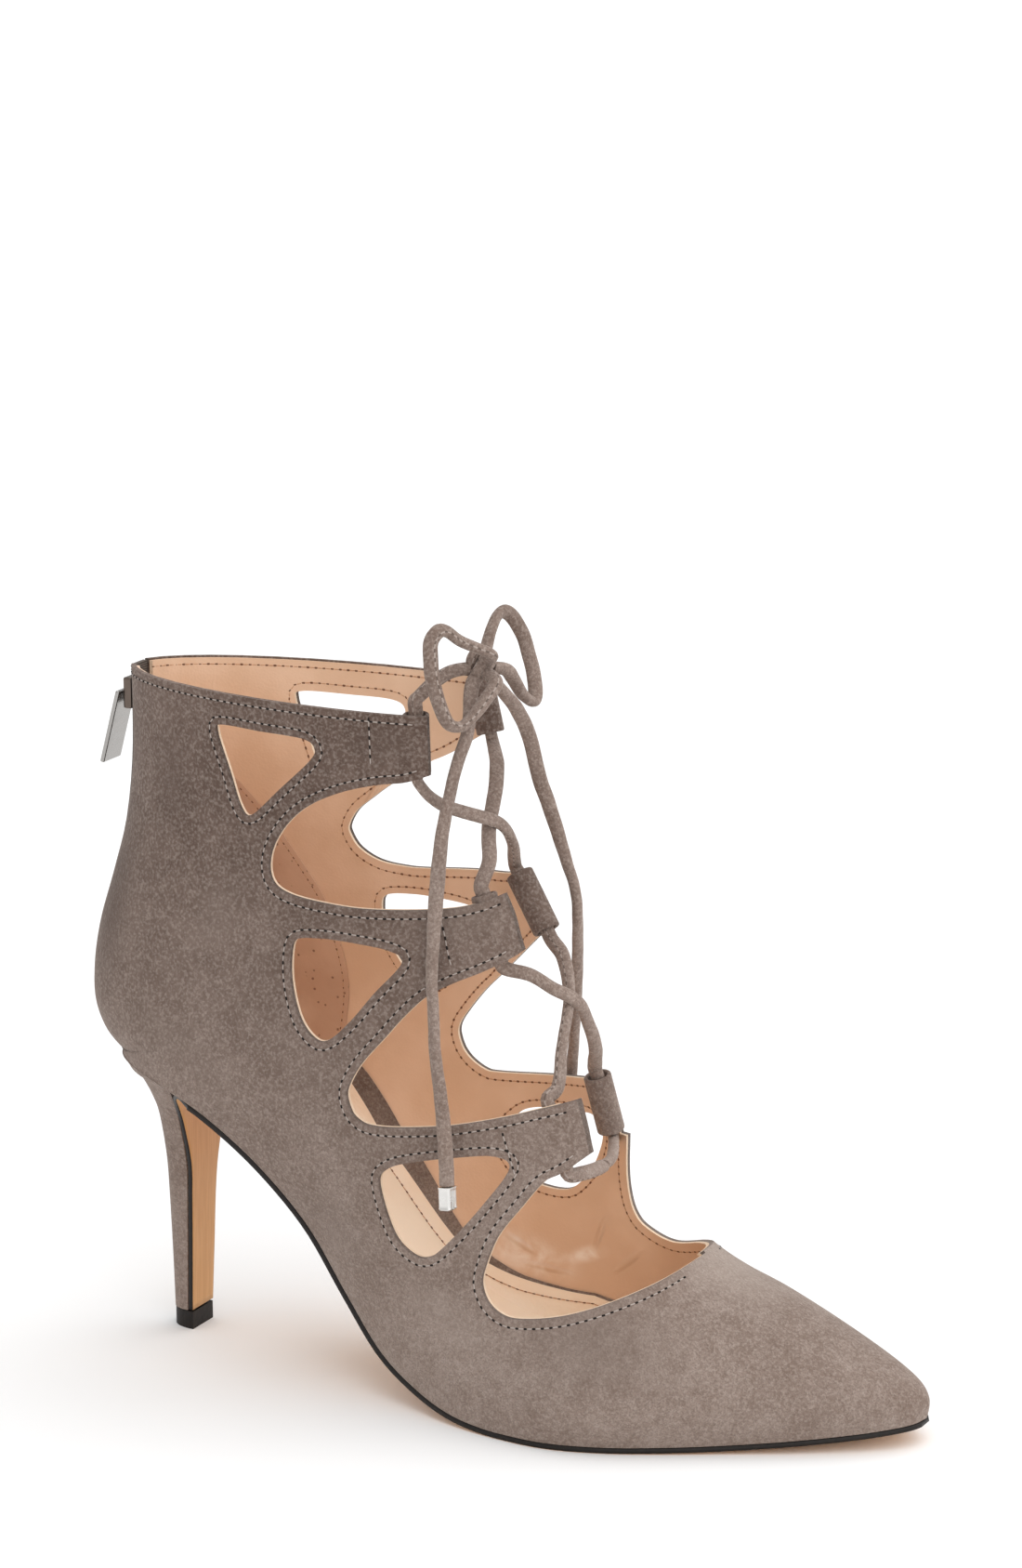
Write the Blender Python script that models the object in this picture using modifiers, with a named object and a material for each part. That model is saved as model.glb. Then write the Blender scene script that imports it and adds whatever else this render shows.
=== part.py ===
"""Women's lace-up heel, right shoe: a cut-out suede bootie on a slim covered heel.

Metres, +X to the toe, +Y to the inner (medial) side of the foot, +Z up. The origin is on
the floor under the heel's top lift. The upper's outer surface is a fan of sections that
starts at the toe tip, runs along the sole's edge to the heel seat and climbs the back seam
to the collar. Every section plane holds the Y direction. Its lower end lies on the sole's
edge or the back seam, and its upper end on the ridge over the foot.
"""

import math
from typing import NamedTuple

import bmesh
import bpy
from mathutils import Matrix, Vector

MM = 0.001

# Driving dimensions of the shoe
SHOE_LENGTH = 0.228
BALL_WIDTH = 0.079
SEAT_HEIGHT = 0.075
SHAFT_HEIGHT = 0.099
UPPER_WALL = 0.0020
SEAM_GAP = 0.0003

# Sole, insole and heel
OUTSOLE_THICKNESS = 0.0013
OUTSOLE_RIM = 0.0003
INSOLE_THICKNESS = 0.0020
INSOLE_CLEARANCE = 0.0020
LIFT_HEIGHT = 0.0047
FLAP_RUN = 0.0050

# Lace and its tunnels in the strap ends
LACE_DIAMETER = 0.0034
TUNNEL_BORE = 0.0050
TUNNEL_WALL = 0.0010
TUNNEL_OVERRUN = 0.0008
TUNNEL_STRAIGHT = 0.0030
KNOT_WIDTH = 0.0096
KNOT_CLEARANCE = 0.0009

# Cutters: how far they pass the part, and where across the foot they start
CUTTER_MARGIN = 0.0200
THROAT_LATERAL_START = 0.0022
THROAT_MEDIAL_START = 0.0010
CUTOUT_START = 0.0020

# Back zip
ZIP_LENGTH = 0.080
ZIP_SLOT_WIDTH = 0.0064
ZIP_SLOT_BACK = -0.0320
ZIP_SLOT_FRONT = -0.0020
ZIP_TAPE_THICKNESS = 0.0012
SLIDER_LENGTH = 0.0080
SLIDER_WIDTH = 0.0056
SLIDER_DEPTH = 0.0024
PULL_LENGTH = 0.0195
PULL_WIDTH = 0.0087
PULL_THICKNESS = 0.0012
PULL_TILT = math.radians(15)

# Sampling
ROWS_PER_SECTION = 2
LOWER_STEPS = 4
UPPER_STEPS = 7
OUTLINE_STEPS = 3
SOLE_STEPS = 32
SOLE_COLUMNS = 4
TUBE_SIDES = 12


class Section(NamedTuple):
    """One section of the upper. x in shoe lengths, z in levels, widths in ball widths."""

    foot_x: float
    foot_z: float
    ridge_x: float
    ridge_z: float
    swing: float
    lateral: float
    medial: float
    edge_lateral: float
    edge_medial: float
    widest: float
    low_round: float
    high_round: float


SECTIONS = (
    Section(0.898, 0.085, 0.900, 0.132, 0.082, -0.082, 0.082, -0.082, 0.082, 0.30, 2.00, 1.90),
    Section(0.892, 0.081, 0.896, 0.163, 0.081, -0.020, 0.134, -0.025, 0.129, 0.30, 2.00, 1.90),
    Section(0.876, 0.075, 0.883, 0.205, 0.080, 0.035, 0.180, 0.028, 0.172, 0.30, 2.00, 1.90),
    Section(0.844, 0.064, 0.855, 0.255, 0.077, 0.109, 0.233, 0.100, 0.224, 0.30, 2.00, 1.90),
    Section(0.789, 0.048, 0.809, 0.322, 0.070, 0.210, 0.309, 0.196, 0.296, 0.28, 2.00, 1.85),
    Section(0.728, 0.033, 0.757, 0.394, 0.056, 0.304, 0.387, 0.286, 0.372, 0.26, 2.00, 1.80),
    Section(0.667, 0.025, 0.711, 0.454, 0.041, 0.395, 0.446, 0.377, 0.428, 0.24, 2.00, 1.80),
    Section(0.605, 0.0213, 0.675, 0.498, 0.029, 0.476, 0.473, 0.458, 0.456, 0.23, 2.00, 1.80),
    Section(0.544, 0.0213, 0.647, 0.545, 0.020, 0.522, 0.473, 0.504, 0.456, 0.23, 2.00, 1.85),
    Section(0.482, 0.0213, 0.623, 0.606, 0.013, 0.514, 0.456, 0.494, 0.433, 0.25, 2.00, 1.90),
    Section(0.425, 0.037, 0.602, 0.682, 0.006, 0.491, 0.443, 0.461, 0.405, 0.28, 2.00, 1.95),
    Section(0.373, 0.080, 0.584, 0.770, 0.003, 0.468, 0.433, 0.410, 0.362, 0.32, 2.00, 2.00),
    Section(0.320, 0.171, 0.568, 0.880, 0.000, 0.451, 0.428, 0.362, 0.324, 0.36, 2.00, 2.00),
    Section(0.268, 0.333, 0.553, 0.973, 0.000, 0.438, 0.423, 0.311, 0.299, 0.40, 2.00, 2.00),
    Section(0.215, 0.539, 0.537, 1.051, 0.000, 0.428, 0.418, 0.284, 0.284, 0.44, 2.00, 2.00),
    Section(0.158, 0.728, 0.523, 1.121, 0.000, 0.418, 0.410, 0.304, 0.296, 0.48, 2.10, 2.00),
    Section(0.096, 0.875, 0.511, 1.192, 0.000, 0.403, 0.395, 0.322, 0.311, 0.52, 2.20, 2.00),
    Section(0.035, 0.949, 0.500, 1.253, 0.000, 0.388, 0.380, 0.296, 0.289, 0.548, 2.30, 2.00),
    Section(-0.018, 0.981, 0.491, 1.303, 0.000, 0.375, 0.370, 0.225, 0.220, 0.544, 2.40, 2.00),
    Section(-0.048, 0.995, 0.485, 1.339, 0.000, 0.367, 0.362, 0.134, 0.132, 0.542, 2.43, 2.00),
    Section(-0.060, 1.000, 0.481, 1.364, 0.000, 0.362, 0.359, 0.000, 0.000, 0.554, 2.46, 2.00),
    Section(-0.084, 1.044, 0.474, 1.406, 0.000, 0.349, 0.347, 0.000, 0.000, 0.604, 2.37, 2.00),
    Section(-0.098, 1.116, 0.466, 1.455, 0.000, 0.330, 0.327, 0.000, 0.000, 0.624, 2.39, 2.10),
    Section(-0.100, 1.207, 0.459, 1.509, 0.000, 0.314, 0.311, 0.000, 0.000, 0.60, 2.30, 2.10),
    Section(-0.0915, 1.323, 0.453, 1.570, 0.000, 0.303, 0.300, 0.000, 0.000, 0.60, 2.25, 2.20),
    Section(-0.0740, 1.459, 0.448, 1.642, 0.000, 0.295, 0.295, 0.000, 0.000, 0.60, 2.12, 2.30),
    Section(-0.0575, 1.602, 0.446, 1.727, 0.000, 0.295, 0.295, 0.000, 0.000, 0.60, 2.00, 2.40),
    Section(-0.0485, 1.778, 0.446, 1.844, 0.000, 0.304, 0.304, 0.000, 0.000, 0.60, 1.90, 2.50),
    Section(-0.0480, 2.000, 0.447, 2.000, 0.000, 0.319, 0.316, 0.000, 0.000, 0.60, 1.90, 2.50),
)
FIRST_BACK_SECTION = 20
LAST_SECTION = len(SECTIONS) - 1

LATERAL = -1
MEDIAL = 1

# Side-view outlines, (x in shoe lengths, z in levels). A gap is a smooth curve, and a
# strap end is the straight edge between two gaps, lower corner last.
STRAP_ENDS = {
    LATERAL: (
        ((0.365, 2.000), (0.365, 1.853)),
        ((0.432, 1.552), (0.453, 1.412)),
        ((0.521, 1.053), (0.542, 0.907)),
    ),
    MEDIAL: (
        ((0.350, 2.000), (0.366, 1.884)),
        ((0.416, 1.554), (0.457, 1.440)),
        ((0.504, 1.029), (0.512, 0.851)),
    ),
}
GAPS = {
    LATERAL: (
        (
            (0.339, 1.832), (0.306, 1.819), (0.264, 1.790), (0.224, 1.745), (0.197, 1.693),
            (0.179, 1.633), (0.173, 1.578), (0.179, 1.535), (0.200, 1.512), (0.241, 1.502),
            (0.294, 1.500), (0.375, 1.514), (0.409, 1.530),
        ),
        (
            (0.442, 1.392), (0.419, 1.364), (0.393, 1.337), (0.365, 1.299), (0.342, 1.244),
            (0.324, 1.190), (0.302, 1.126), (0.289, 1.070), (0.288, 1.034), (0.300, 0.988),
            (0.324, 0.971), (0.388, 0.992), (0.460, 1.025), (0.491, 1.041),
        ),
        (
            (0.523, 0.859), (0.507, 0.831), (0.489, 0.751), (0.469, 0.657), (0.459, 0.561),
            (0.457, 0.499), (0.467, 0.441), (0.487, 0.408), (0.513, 0.409), (0.547, 0.427),
            (0.579, 0.456), (0.606, 0.487), (0.629, 0.517), (0.645, 0.548), (0.650, 0.580),
            (0.653, 0.667),
        ),
    ),
    MEDIAL: (
        (
            (0.337, 1.862), (0.291, 1.796), (0.262, 1.762), (0.218, 1.696), (0.196, 1.657),
            (0.178, 1.621), (0.168, 1.581), (0.169, 1.557), (0.180, 1.521), (0.203, 1.495),
            (0.232, 1.487), (0.261, 1.489), (0.323, 1.506), (0.375, 1.519),
        ),
        (
            (0.418, 1.380), (0.353, 1.238), (0.323, 1.173), (0.300, 1.111), (0.286, 1.061),
            (0.286, 1.021), (0.296, 0.971), (0.313, 0.935), (0.330, 0.928), (0.379, 0.943),
            (0.465, 0.985),
        ),
        (
            (0.502, 0.701), (0.500, 0.601), (0.505, 0.519), (0.520, 0.468), (0.557, 0.439),
            (0.605, 0.491), (0.636, 0.540), (0.650, 0.580), (0.653, 0.667),
        ),
    ),
}
HOLES = {
    LATERAL: (
        (
            (0.114, 1.919), (0.167, 1.919), (0.220, 1.916), (0.235, 1.895), (0.228, 1.861),
            (0.189, 1.778), (0.151, 1.700), (0.136, 1.713), (0.121, 1.803), (0.106, 1.897),
        ),
        (
            (0.211, 1.404), (0.243, 1.415), (0.281, 1.414), (0.322, 1.405), (0.338, 1.380),
            (0.310, 1.300), (0.286, 1.229), (0.263, 1.176), (0.245, 1.166), (0.223, 1.208),
            (0.207, 1.292), (0.204, 1.368),
        ),
        (
            (0.330, 0.781), (0.341, 0.837), (0.370, 0.872), (0.419, 0.903), (0.458, 0.913),
            (0.474, 0.875), (0.451, 0.756), (0.421, 0.640), (0.395, 0.565), (0.372, 0.565),
            (0.348, 0.627),
        ),
    ),
}
HOLES[MEDIAL] = (
    HOLES[LATERAL][0],
    HOLES[LATERAL][1],
    (
        (0.333, 0.701), (0.353, 0.785), (0.379, 0.824), (0.435, 0.844), (0.460, 0.843),
        (0.470, 0.781), (0.454, 0.661), (0.433, 0.579), (0.412, 0.541), (0.377, 0.549),
        (0.349, 0.600),
    ),
)


# Levels of the heel's tip and of the flap's end, just above the top lift
HEEL_TIP_LEVEL = (LIFT_HEIGHT + SEAM_GAP) / SEAT_HEIGHT
FLAP_END_LEVEL = (LIFT_HEIGHT + 2 * SEAM_GAP) / SEAT_HEIGHT


class BreastRow(NamedTuple):
    """One row of the sole's flap on the heel breast. z in seat heights, width in ball widths."""

    x: float
    z: float
    half_width: float


BREAST_ROWS = (
    BreastRow(0.0525, 0.903, 0.272),
    BreastRow(0.0390, 0.880, 0.222),
    BreastRow(0.0333, 0.832, 0.175),
    BreastRow(0.0307, 0.760, 0.134),
    BreastRow(0.0298, 0.613, 0.089),
    BreastRow(0.0276, 0.480, 0.077),
    BreastRow(0.0254, 0.267, 0.071),
    BreastRow(0.0232, FLAP_END_LEVEL, 0.066),
)


class HeelRow(NamedTuple):
    """One ring of the heel: front and back x in shoe lengths, z in seat heights."""

    front_x: float
    front_z: float
    back_x: float
    back_z: float
    half_width: float
    roundness: float


HEEL_ROWS = (
    HeelRow(0.0340, 0.940, -0.0590, 0.9800, 0.286, 1.85),
    HeelRow(0.0318, 0.918, -0.0500, 0.951, 0.246, 1.90),
    HeelRow(0.0286, 0.888, -0.0395, 0.918, 0.205, 1.95),
    HeelRow(0.0250, 0.832, -0.0290, 0.846, 0.162, 2.00),
    HeelRow(0.0228, 0.760, -0.0222, 0.765, 0.126, 2.00),
    HeelRow(0.0222, 0.613, -0.0165, 0.613, 0.087, 2.10),
    HeelRow(0.0202, 0.480, -0.0142, 0.480, 0.075, 2.10),
    HeelRow(0.0180, 0.267, -0.0112, 0.267, 0.069, 2.10),
    HeelRow(0.0160, HEEL_TIP_LEVEL, -0.0092, HEEL_TIP_LEVEL, 0.0645, 2.10),
)

# Cord routes in millimetres, chosen by hand along the lace. A strand is the stretch from
# the top of one tunnel to the foot of the next.
CROSSING_STRANDS = {
    "lateral_3_to_medial_2": (
        (113.4, -11.6, 83.0), (113.0, -9.0, 91.5), (112.0, -4.5, 97.5), (110.8, -0.5, 101.5),
        (109.0, 2.5, 106.0), (105.5, 6.5, 110.5),
    ),
    "medial_3_to_lateral_2": (
        (113.6, 8.5, 88.0), (113.4, 4.0, 96.0), (113.2, -0.8, 101.6), (108.5, -6.0, 106.0),
        (104.8, -9.3, 109.4),
    ),
    "lateral_2_to_medial_1": (
        (93.3, -9.2, 136.5), (89.8, -2.5, 143.0), (87.2, 6.0, 150.0), (84.6, 12.0, 155.5),
    ),
    "medial_2_to_lateral_1": (
        (91.7, 6.5, 137.5), (92.3, -0.8, 143.8), (88.6, -5.8, 146.6), (84.0, -10.6, 149.0),
        (81.0, -14.6, 151.8),
    ),
    "lateral_1_to_knot": ((79.0, -17.6, 178.0), (80.6, -13.6, 180.6), (82.6, -8.6, 182.4)),
    "medial_1_to_knot": ((78.6, 16.4, 178.2), (80.8, 11.6, 181.4), (82.8, 5.4, 183.0)),
}
BOTTOM_BAR = ((120.4, -7.0, 61.0), (120.0, 0.0, 60.2), (118.6, 8.0, 59.8))
KNOT_CENTRE = (87.5, -2.0, 183.0)
CORD_ROUTES = {
    "lace_bow_lateral": (
        (92.2, -6.2, 187.2), (89.8, -9.9, 189.4), (87.0, -13.0, 191.5), (85.5, -16.0, 194.0),
        (84.5, -18.5, 194.5), (83.5, -20.5, 192.0), (84.0, -21.6, 187.5), (85.0, -22.2, 182.5),
        (86.5, -22.0, 177.5), (88.0, -20.8, 173.0), (90.0, -18.5, 171.6), (91.6, -15.5, 173.2),
        (93.4, -11.6, 177.0), (94.2, -7.6, 180.6),
    ),
    "lace_bow_medial": (
        (87.0, 2.6, 188.4), (86.8, 5.0, 191.0), (86.6, 8.0, 193.2), (87.0, 11.0, 194.0),
        (87.8, 14.0, 192.0), (89.0, 17.0, 187.5), (89.8, 19.0, 182.0), (90.6, 20.0, 177.0),
        (91.4, 19.5, 173.0), (91.6, 18.0, 170.8), (91.4, 15.5, 171.5), (91.0, 12.0, 174.2),
        (90.8, 8.4, 178.2), (90.6, 5.0, 181.0),
    ),
    "lace_end_lateral": (
        (88.0, -8.2, 178.6), (89.5, -13.0, 169.5), (88.5, -17.0, 161.5), (87.5, -19.5, 153.0),
        (86.5, -21.0, 144.5), (86.0, -22.5, 133.0), (85.5, -23.5, 120.5), (86.0, -25.5, 110.5),
        (88.0, -28.5, 102.5), (90.0, -31.5, 93.5), (92.5, -33.5, 83.5), (94.5, -35.0, 72.0),
        (95.5, -36.0, 62.0),
    ),
    "lace_end_medial": (
        (91.0, 0.8, 177.4), (92.2, 5.2, 173.0), (92.4, 9.0, 169.2), (93.2, 12.0, 164.0),
        (94.0, 13.5, 158.5), (95.0, 14.5, 152.5), (97.0, 15.5, 146.0), (99.0, 16.5, 139.0),
        (101.0, 17.5, 131.5), (103.0, 18.5, 124.0), (103.0, 20.0, 116.0), (100.5, 25.0, 99.0),
        (98.0, 29.0, 85.5), (95.5, 32.4, 73.0), (93.8, 34.2, 65.5), (92.0, 35.4, 58.5),
    ),
}
LACE_TIP_LENGTH = 0.0055
LACE_TIP_DIAMETER = 0.0040
CORD_STEP = 0.0075


def level(share):
    """Height of a level: 0 to 1 climbs to the heel seat, 1 to 2 on to the collar."""
    if share <= 1.0:
        return share * SEAT_HEIGHT
    return SEAT_HEIGHT + (share - 1.0) * SHAFT_HEIGHT


def curve_value(points, position):
    """Value of a smooth curve through the points, position counted in points."""
    last = len(points) - 1
    position = min(max(position, 0.0), last)
    index = min(int(position), last - 1)
    t = position - index
    here, ahead = points[index], points[index + 1]
    before = points[index - 1] if index > 0 else tuple(2 * a - b for a, b in zip(here, ahead))
    after = points[index + 2] if index + 2 <= last else tuple(2 * b - a for a, b in zip(here, ahead))
    return tuple(
        0.5 * (2 * b + (c - a) * t + (2 * a - 5 * b + 4 * c - d) * t * t + (3 * b - a - 3 * c + d) * t**3)
        for a, b, c, d in zip(before, here, ahead, after)
    )


def smooth_line(points, steps):
    """Points of the smooth curve through an open line, steps to each span."""
    count = (len(points) - 1) * steps
    return [curve_value(points, i / steps) for i in range(count + 1)]


def smooth_loop(points, steps):
    """Points of the smooth curve through a closed outline."""
    size = len(points)
    wrapped = [points[-1], *points, points[0], points[1]]
    return [curve_value(wrapped, 1 + i / steps) for i in range(size * steps)]


def spaced_line(points, spacing):
    """Points of the smooth curve through a line, evenly spaced along it."""
    fine = [Vector(p) for p in smooth_line(points, 16)]
    travelled = [0.0]
    for a, b in zip(fine, fine[1:]):
        travelled.append(travelled[-1] + (b - a).length)
    count = max(2, round(travelled[-1] / spacing))
    result = []
    index = 0
    for step in range(count + 1):
        target = travelled[-1] * step / count
        while index < len(fine) - 2 and travelled[index + 1] < target:
            index += 1
        span = travelled[index + 1] - travelled[index]
        share = (target - travelled[index]) / span if span > 0 else 0.0
        result.append(fine[index].lerp(fine[index + 1], share))
    return result


class Arch:
    """The upper's section at one place of the fan, in metres."""

    def __init__(self, place):
        row = Section(*curve_value(SECTIONS, place))
        self.foot_x = row.foot_x * SHOE_LENGTH
        self.foot_z = level(max(row.foot_z, min(s.foot_z for s in SECTIONS)))
        self.ridge_x = row.ridge_x * SHOE_LENGTH
        self.ridge_z = level(row.ridge_z)
        self.swing = row.swing * BALL_WIDTH
        self.reach = {LATERAL: row.lateral * BALL_WIDTH, MEDIAL: row.medial * BALL_WIDTH}
        self.edge = {LATERAL: row.edge_lateral * BALL_WIDTH, MEDIAL: row.edge_medial * BALL_WIDTH}
        self.widest = row.widest
        self.low_round = row.low_round
        self.high_round = row.high_round

    def foot_share(self, side):
        """How far below the widest point the arch starts, on its rounded lower part."""
        width = self.reach[side] - side * self.swing
        if width < 0.1 * MM:
            return 0.0
        edge = min(max((self.edge[side] - side * self.swing) / width, 0.0), 1.0)
        return (1.0 - edge**self.low_round) ** (1.0 / self.low_round)

    def half_width(self, side, rise):
        """Signed y of the arch at a share of its rise from foot to ridge."""
        width = self.reach[side] - side * self.swing
        if width < 0.1 * MM:
            return self.swing
        if rise < self.widest:
            offset = self.foot_share(side) * (1.0 - rise / self.widest)
            roundness = self.low_round
        else:
            offset = (rise - self.widest) / (1.0 - self.widest)
            roundness = self.high_round
        bulge = (1.0 - min(offset, 1.0) ** roundness) ** (1.0 / roundness)
        return self.swing + side * width * bulge

    def point(self, side, rise):
        """Point of the arch at a share of its rise."""
        x = self.foot_x + (self.ridge_x - self.foot_x) * rise
        z = self.foot_z + (self.ridge_z - self.foot_z) * rise
        return Vector((x, self.half_width(side, rise), z))

    def points(self, side):
        """Points of the half arch from the foot to the ridge, closer where it bends."""
        foot = self.foot_share(side)
        turn = math.asin(min(foot ** (self.low_round / 2), 1.0))
        result = []
        for step in range(LOWER_STEPS):
            if foot > 0.01:
                angle = turn * (1.0 - step / LOWER_STEPS)
                rise = self.widest * (1.0 - math.sin(angle) ** (2 / self.low_round) / foot)
            else:
                rise = self.widest * step / LOWER_STEPS
            result.append(self.point(side, rise))
        for step in range(UPPER_STEPS + 1):
            share = math.sin(math.pi / 2 * step / UPPER_STEPS) ** (2 / self.high_round)
            result.append(self.point(side, self.widest + (1.0 - self.widest) * share))
        return result


def wall_point(side, x, z):
    """Point of the upper's outer surface at a place of the side view."""
    def ahead(place):
        arch = Arch(place)
        rise_x, rise_z = arch.ridge_x - arch.foot_x, arch.ridge_z - arch.foot_z
        return (x - arch.foot_x) * rise_z - (z - arch.foot_z) * rise_x > 0.0

    low, high = 0.0, float(LAST_SECTION)
    for _ in range(24):
        middle = (low + high) / 2
        if ahead(middle):
            high = middle
        else:
            low = middle
    arch = Arch(low)
    run = Vector((arch.ridge_x - arch.foot_x, arch.ridge_z - arch.foot_z))
    rise = (Vector((x - arch.foot_x, z - arch.foot_z))).dot(run) / run.length_squared
    return Vector((x, arch.half_width(side, min(max(rise, 0.0), 1.0)), z))


def wall_normal(side, x, z):
    """Outward normal of the upper at a place of the side view."""
    step = 0.5 * MM
    along = wall_point(side, x + step, z) - wall_point(side, x - step, z)
    up = wall_point(side, x, z + step) - wall_point(side, x, z - step)
    normal = along.cross(up)
    return (normal if normal.y * side > 0 else -normal).normalized()


def side_view(points):
    """Outline points in metres from shares of the shoe's length and levels."""
    return [Vector((x * SHOE_LENGTH, 0.0, level(z))) for x, z in points]


def sole_outline(side, inset):
    """Sole edge as (distance along the sole, y) pairs from toe to heel, moved inwards."""
    arches = [Arch(i / 6) for i in range(FIRST_BACK_SECTION * 6 + 1)]
    along = [0.0]
    for a, b in zip(arches, arches[1:]):
        along.append(along[-1] + math.hypot(b.foot_x - a.foot_x, b.foot_z - a.foot_z))
    raw = [(s, side * a.edge[side]) for s, a in zip(along, arches)]
    result = []
    for index, (s, y) in enumerate(raw):
        s0, y0 = raw[max(index - 1, 0)]
        s1, y1 = raw[min(index + 1, len(raw) - 1)]
        length = max(math.hypot(s1 - s0, y1 - y0), 1e-9)
        result.append((s + side * (y1 - y0) / length * inset, y - side * (s1 - s0) / length * inset))
    return result


def read_outline(outline, along):
    """y of an outline at a distance along the sole."""
    pairs = sorted(outline)
    if along <= pairs[0][0]:
        return pairs[0][1]
    for (s0, y0), (s1, y1) in zip(pairs, pairs[1:]):
        if s0 <= along <= s1:
            return y0 + (y1 - y0) * ((along - s0) / (s1 - s0) if s1 > s0 else 0.0)
    return pairs[-1][1]


def sole_line():
    """Side-view line of the sole's edge as (distance, x, z) rows from toe to heel."""
    rows = []
    travelled = 0.0
    previous = None
    for index in range(FIRST_BACK_SECTION * 6 + 1):
        arch = Arch(index / 6)
        if previous:
            travelled += math.hypot(arch.foot_x - previous.foot_x, arch.foot_z - previous.foot_z)
        rows.append((travelled, arch.foot_x, arch.foot_z))
        previous = arch
    return rows


def read_line(rows, along, drop):
    """Point (x, z) of the sole line at a distance, moved down square to it."""
    for (s0, x0, z0), (s1, x1, z1) in zip(rows, rows[1:]):
        if along <= s1 or s1 == rows[-1][0]:
            share = (along - s0) / (s1 - s0)
            dx, dz = (x1 - x0) / (s1 - s0), (z1 - z0) / (s1 - s0)
            return x0 + (x1 - x0) * share - dz * drop, z0 + (z1 - z0) * share + dx * drop
    raise ValueError("the sole line has no rows")


def material(name, colour, roughness, metallic=0.0):
    """Principled material of one sub-part."""
    made = bpy.data.materials.new(name)
    made.use_nodes = True
    shader = made.node_tree.nodes["Principled BSDF"]
    shader.inputs["Base Color"].default_value = (*colour, 1.0)
    shader.inputs["Roughness"].default_value = roughness
    shader.inputs["Metallic"].default_value = metallic
    return made


def object_from(bm, name, collection):
    """Object in a collection from a bmesh, which it frees."""
    mesh = bpy.data.meshes.new(name)
    bm.to_mesh(mesh)
    bm.free()
    made = bpy.data.objects.new(name, mesh)
    collection.objects.link(made)
    return made


def finish(obj, finish_material, sharp_angle=math.radians(35)):
    """Material and smooth shading of a piece."""
    obj.data.materials.append(finish_material)
    obj.data.shade_smooth()
    obj.data.set_sharp_from_angle(angle=sharp_angle)


def loft(rows, closed=False):
    """Open bmesh surface through rows of points; closed rows join their ends."""
    bm = bmesh.new()
    grid = [[bm.verts.new(p) for p in row] for row in rows]
    for a, b in zip(grid, grid[1:]):
        count = len(a) if closed else len(a) - 1
        for i in range(count):
            j = (i + 1) % len(a)
            bm.faces.new((a[i], a[j], b[j], b[i]))
    bmesh.ops.remove_doubles(bm, verts=bm.verts, dist=0.02 * MM)
    bmesh.ops.dissolve_degenerate(bm, edges=bm.edges, dist=0.01 * MM)
    return bm


def thicken(obj, thickness, offset):
    """Solidify modifier that gives an open surface its wall."""
    wall = obj.modifiers.new("wall", "SOLIDIFY")
    wall.thickness = thickness
    wall.offset = offset
    wall.thickness_clamp = 0.0


def boolean(obj, tool, operation):
    """Exact Boolean modifier with a tool object."""
    cut = obj.modifiers.new(tool.name, "BOOLEAN")
    cut.operation = operation
    cut.solver = "EXACT"
    cut.object = tool


def as_tool(obj):
    """Marks an object as a cutter or guide."""
    obj.hide_render = True
    obj.display_type = "WIRE"
    return obj


def prism(name, outline, y_low, y_high, tools):
    """Cutter: a side-view outline extruded along Y."""
    bm = bmesh.new()
    ring = [bm.verts.new((p.x, y_low, p.z)) for p in outline]
    face = bm.faces.new(ring)
    pushed = bmesh.ops.extrude_face_region(bm, geom=[face])
    moved = [v for v in pushed["geom"] if isinstance(v, bmesh.types.BMVert)]
    bmesh.ops.translate(bm, vec=(0.0, y_high - y_low, 0.0), verts=moved)
    bmesh.ops.recalc_face_normals(bm, faces=bm.faces)
    return as_tool(object_from(bm, name, tools))


def rod(name, start, end, diameter, collection, sides=TUBE_SIDES):
    """Round rod between two points."""
    bm = bmesh.new()
    bmesh.ops.create_cone(
        bm,
        cap_ends=True,
        segments=sides,
        radius1=diameter / 2,
        radius2=diameter / 2,
        depth=(end - start).length,
    )
    turn = (end - start).to_track_quat("Z", "Y").to_matrix().to_4x4()
    bmesh.ops.transform(bm, matrix=Matrix.Translation((start + end) / 2) @ turn, verts=bm.verts)
    return object_from(bm, name, collection)


def block(name, size, centre, collection):
    """Box of a size about a centre."""
    bm = bmesh.new()
    bmesh.ops.create_cube(bm, size=1.0)
    bmesh.ops.scale(bm, vec=size, verts=bm.verts)
    bmesh.ops.translate(bm, vec=centre, verts=bm.verts)
    return object_from(bm, name, collection)


def opening_outline(side):
    """Side-view outline of all that the throat leaves open on one side of the foot."""
    ends = STRAP_ENDS[side]
    line = [ends[0][0]]
    for (_, lower), gap, following in zip(ends, GAPS[side], (*ends[1:], None)):
        route = [lower, *gap] + ([following[0]] if following else [])
        line += smooth_line(route, OUTLINE_STEPS)
    outline = side_view(line)
    past_collar = level(2.0) + CUTTER_MARGIN
    past_toe = SHOE_LENGTH
    closing = [Vector((past_toe, 0.0, outline[-1].z)), Vector((past_toe, 0.0, past_collar))]
    return outline + closing + [Vector((outline[0].x, 0.0, past_collar))]


def tunnel(side, strap):
    """Foot and top of the lace tunnel inside a strap end, on its axis."""
    upper, lower = side_view(STRAP_ENDS[side][strap])
    along = (upper - lower).normalized()
    back = Vector((-along.z, 0.0, along.x))
    if back.x > 0:
        back = -back
    depth = TUNNEL_BORE / 2 + TUNNEL_WALL
    ends = []
    for corner in (lower, upper):
        place = corner + back * depth
        wall = wall_point(side, place.x, place.z)
        ends.append(wall - wall_normal(side, place.x, place.z) * depth)
    return ends


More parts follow.
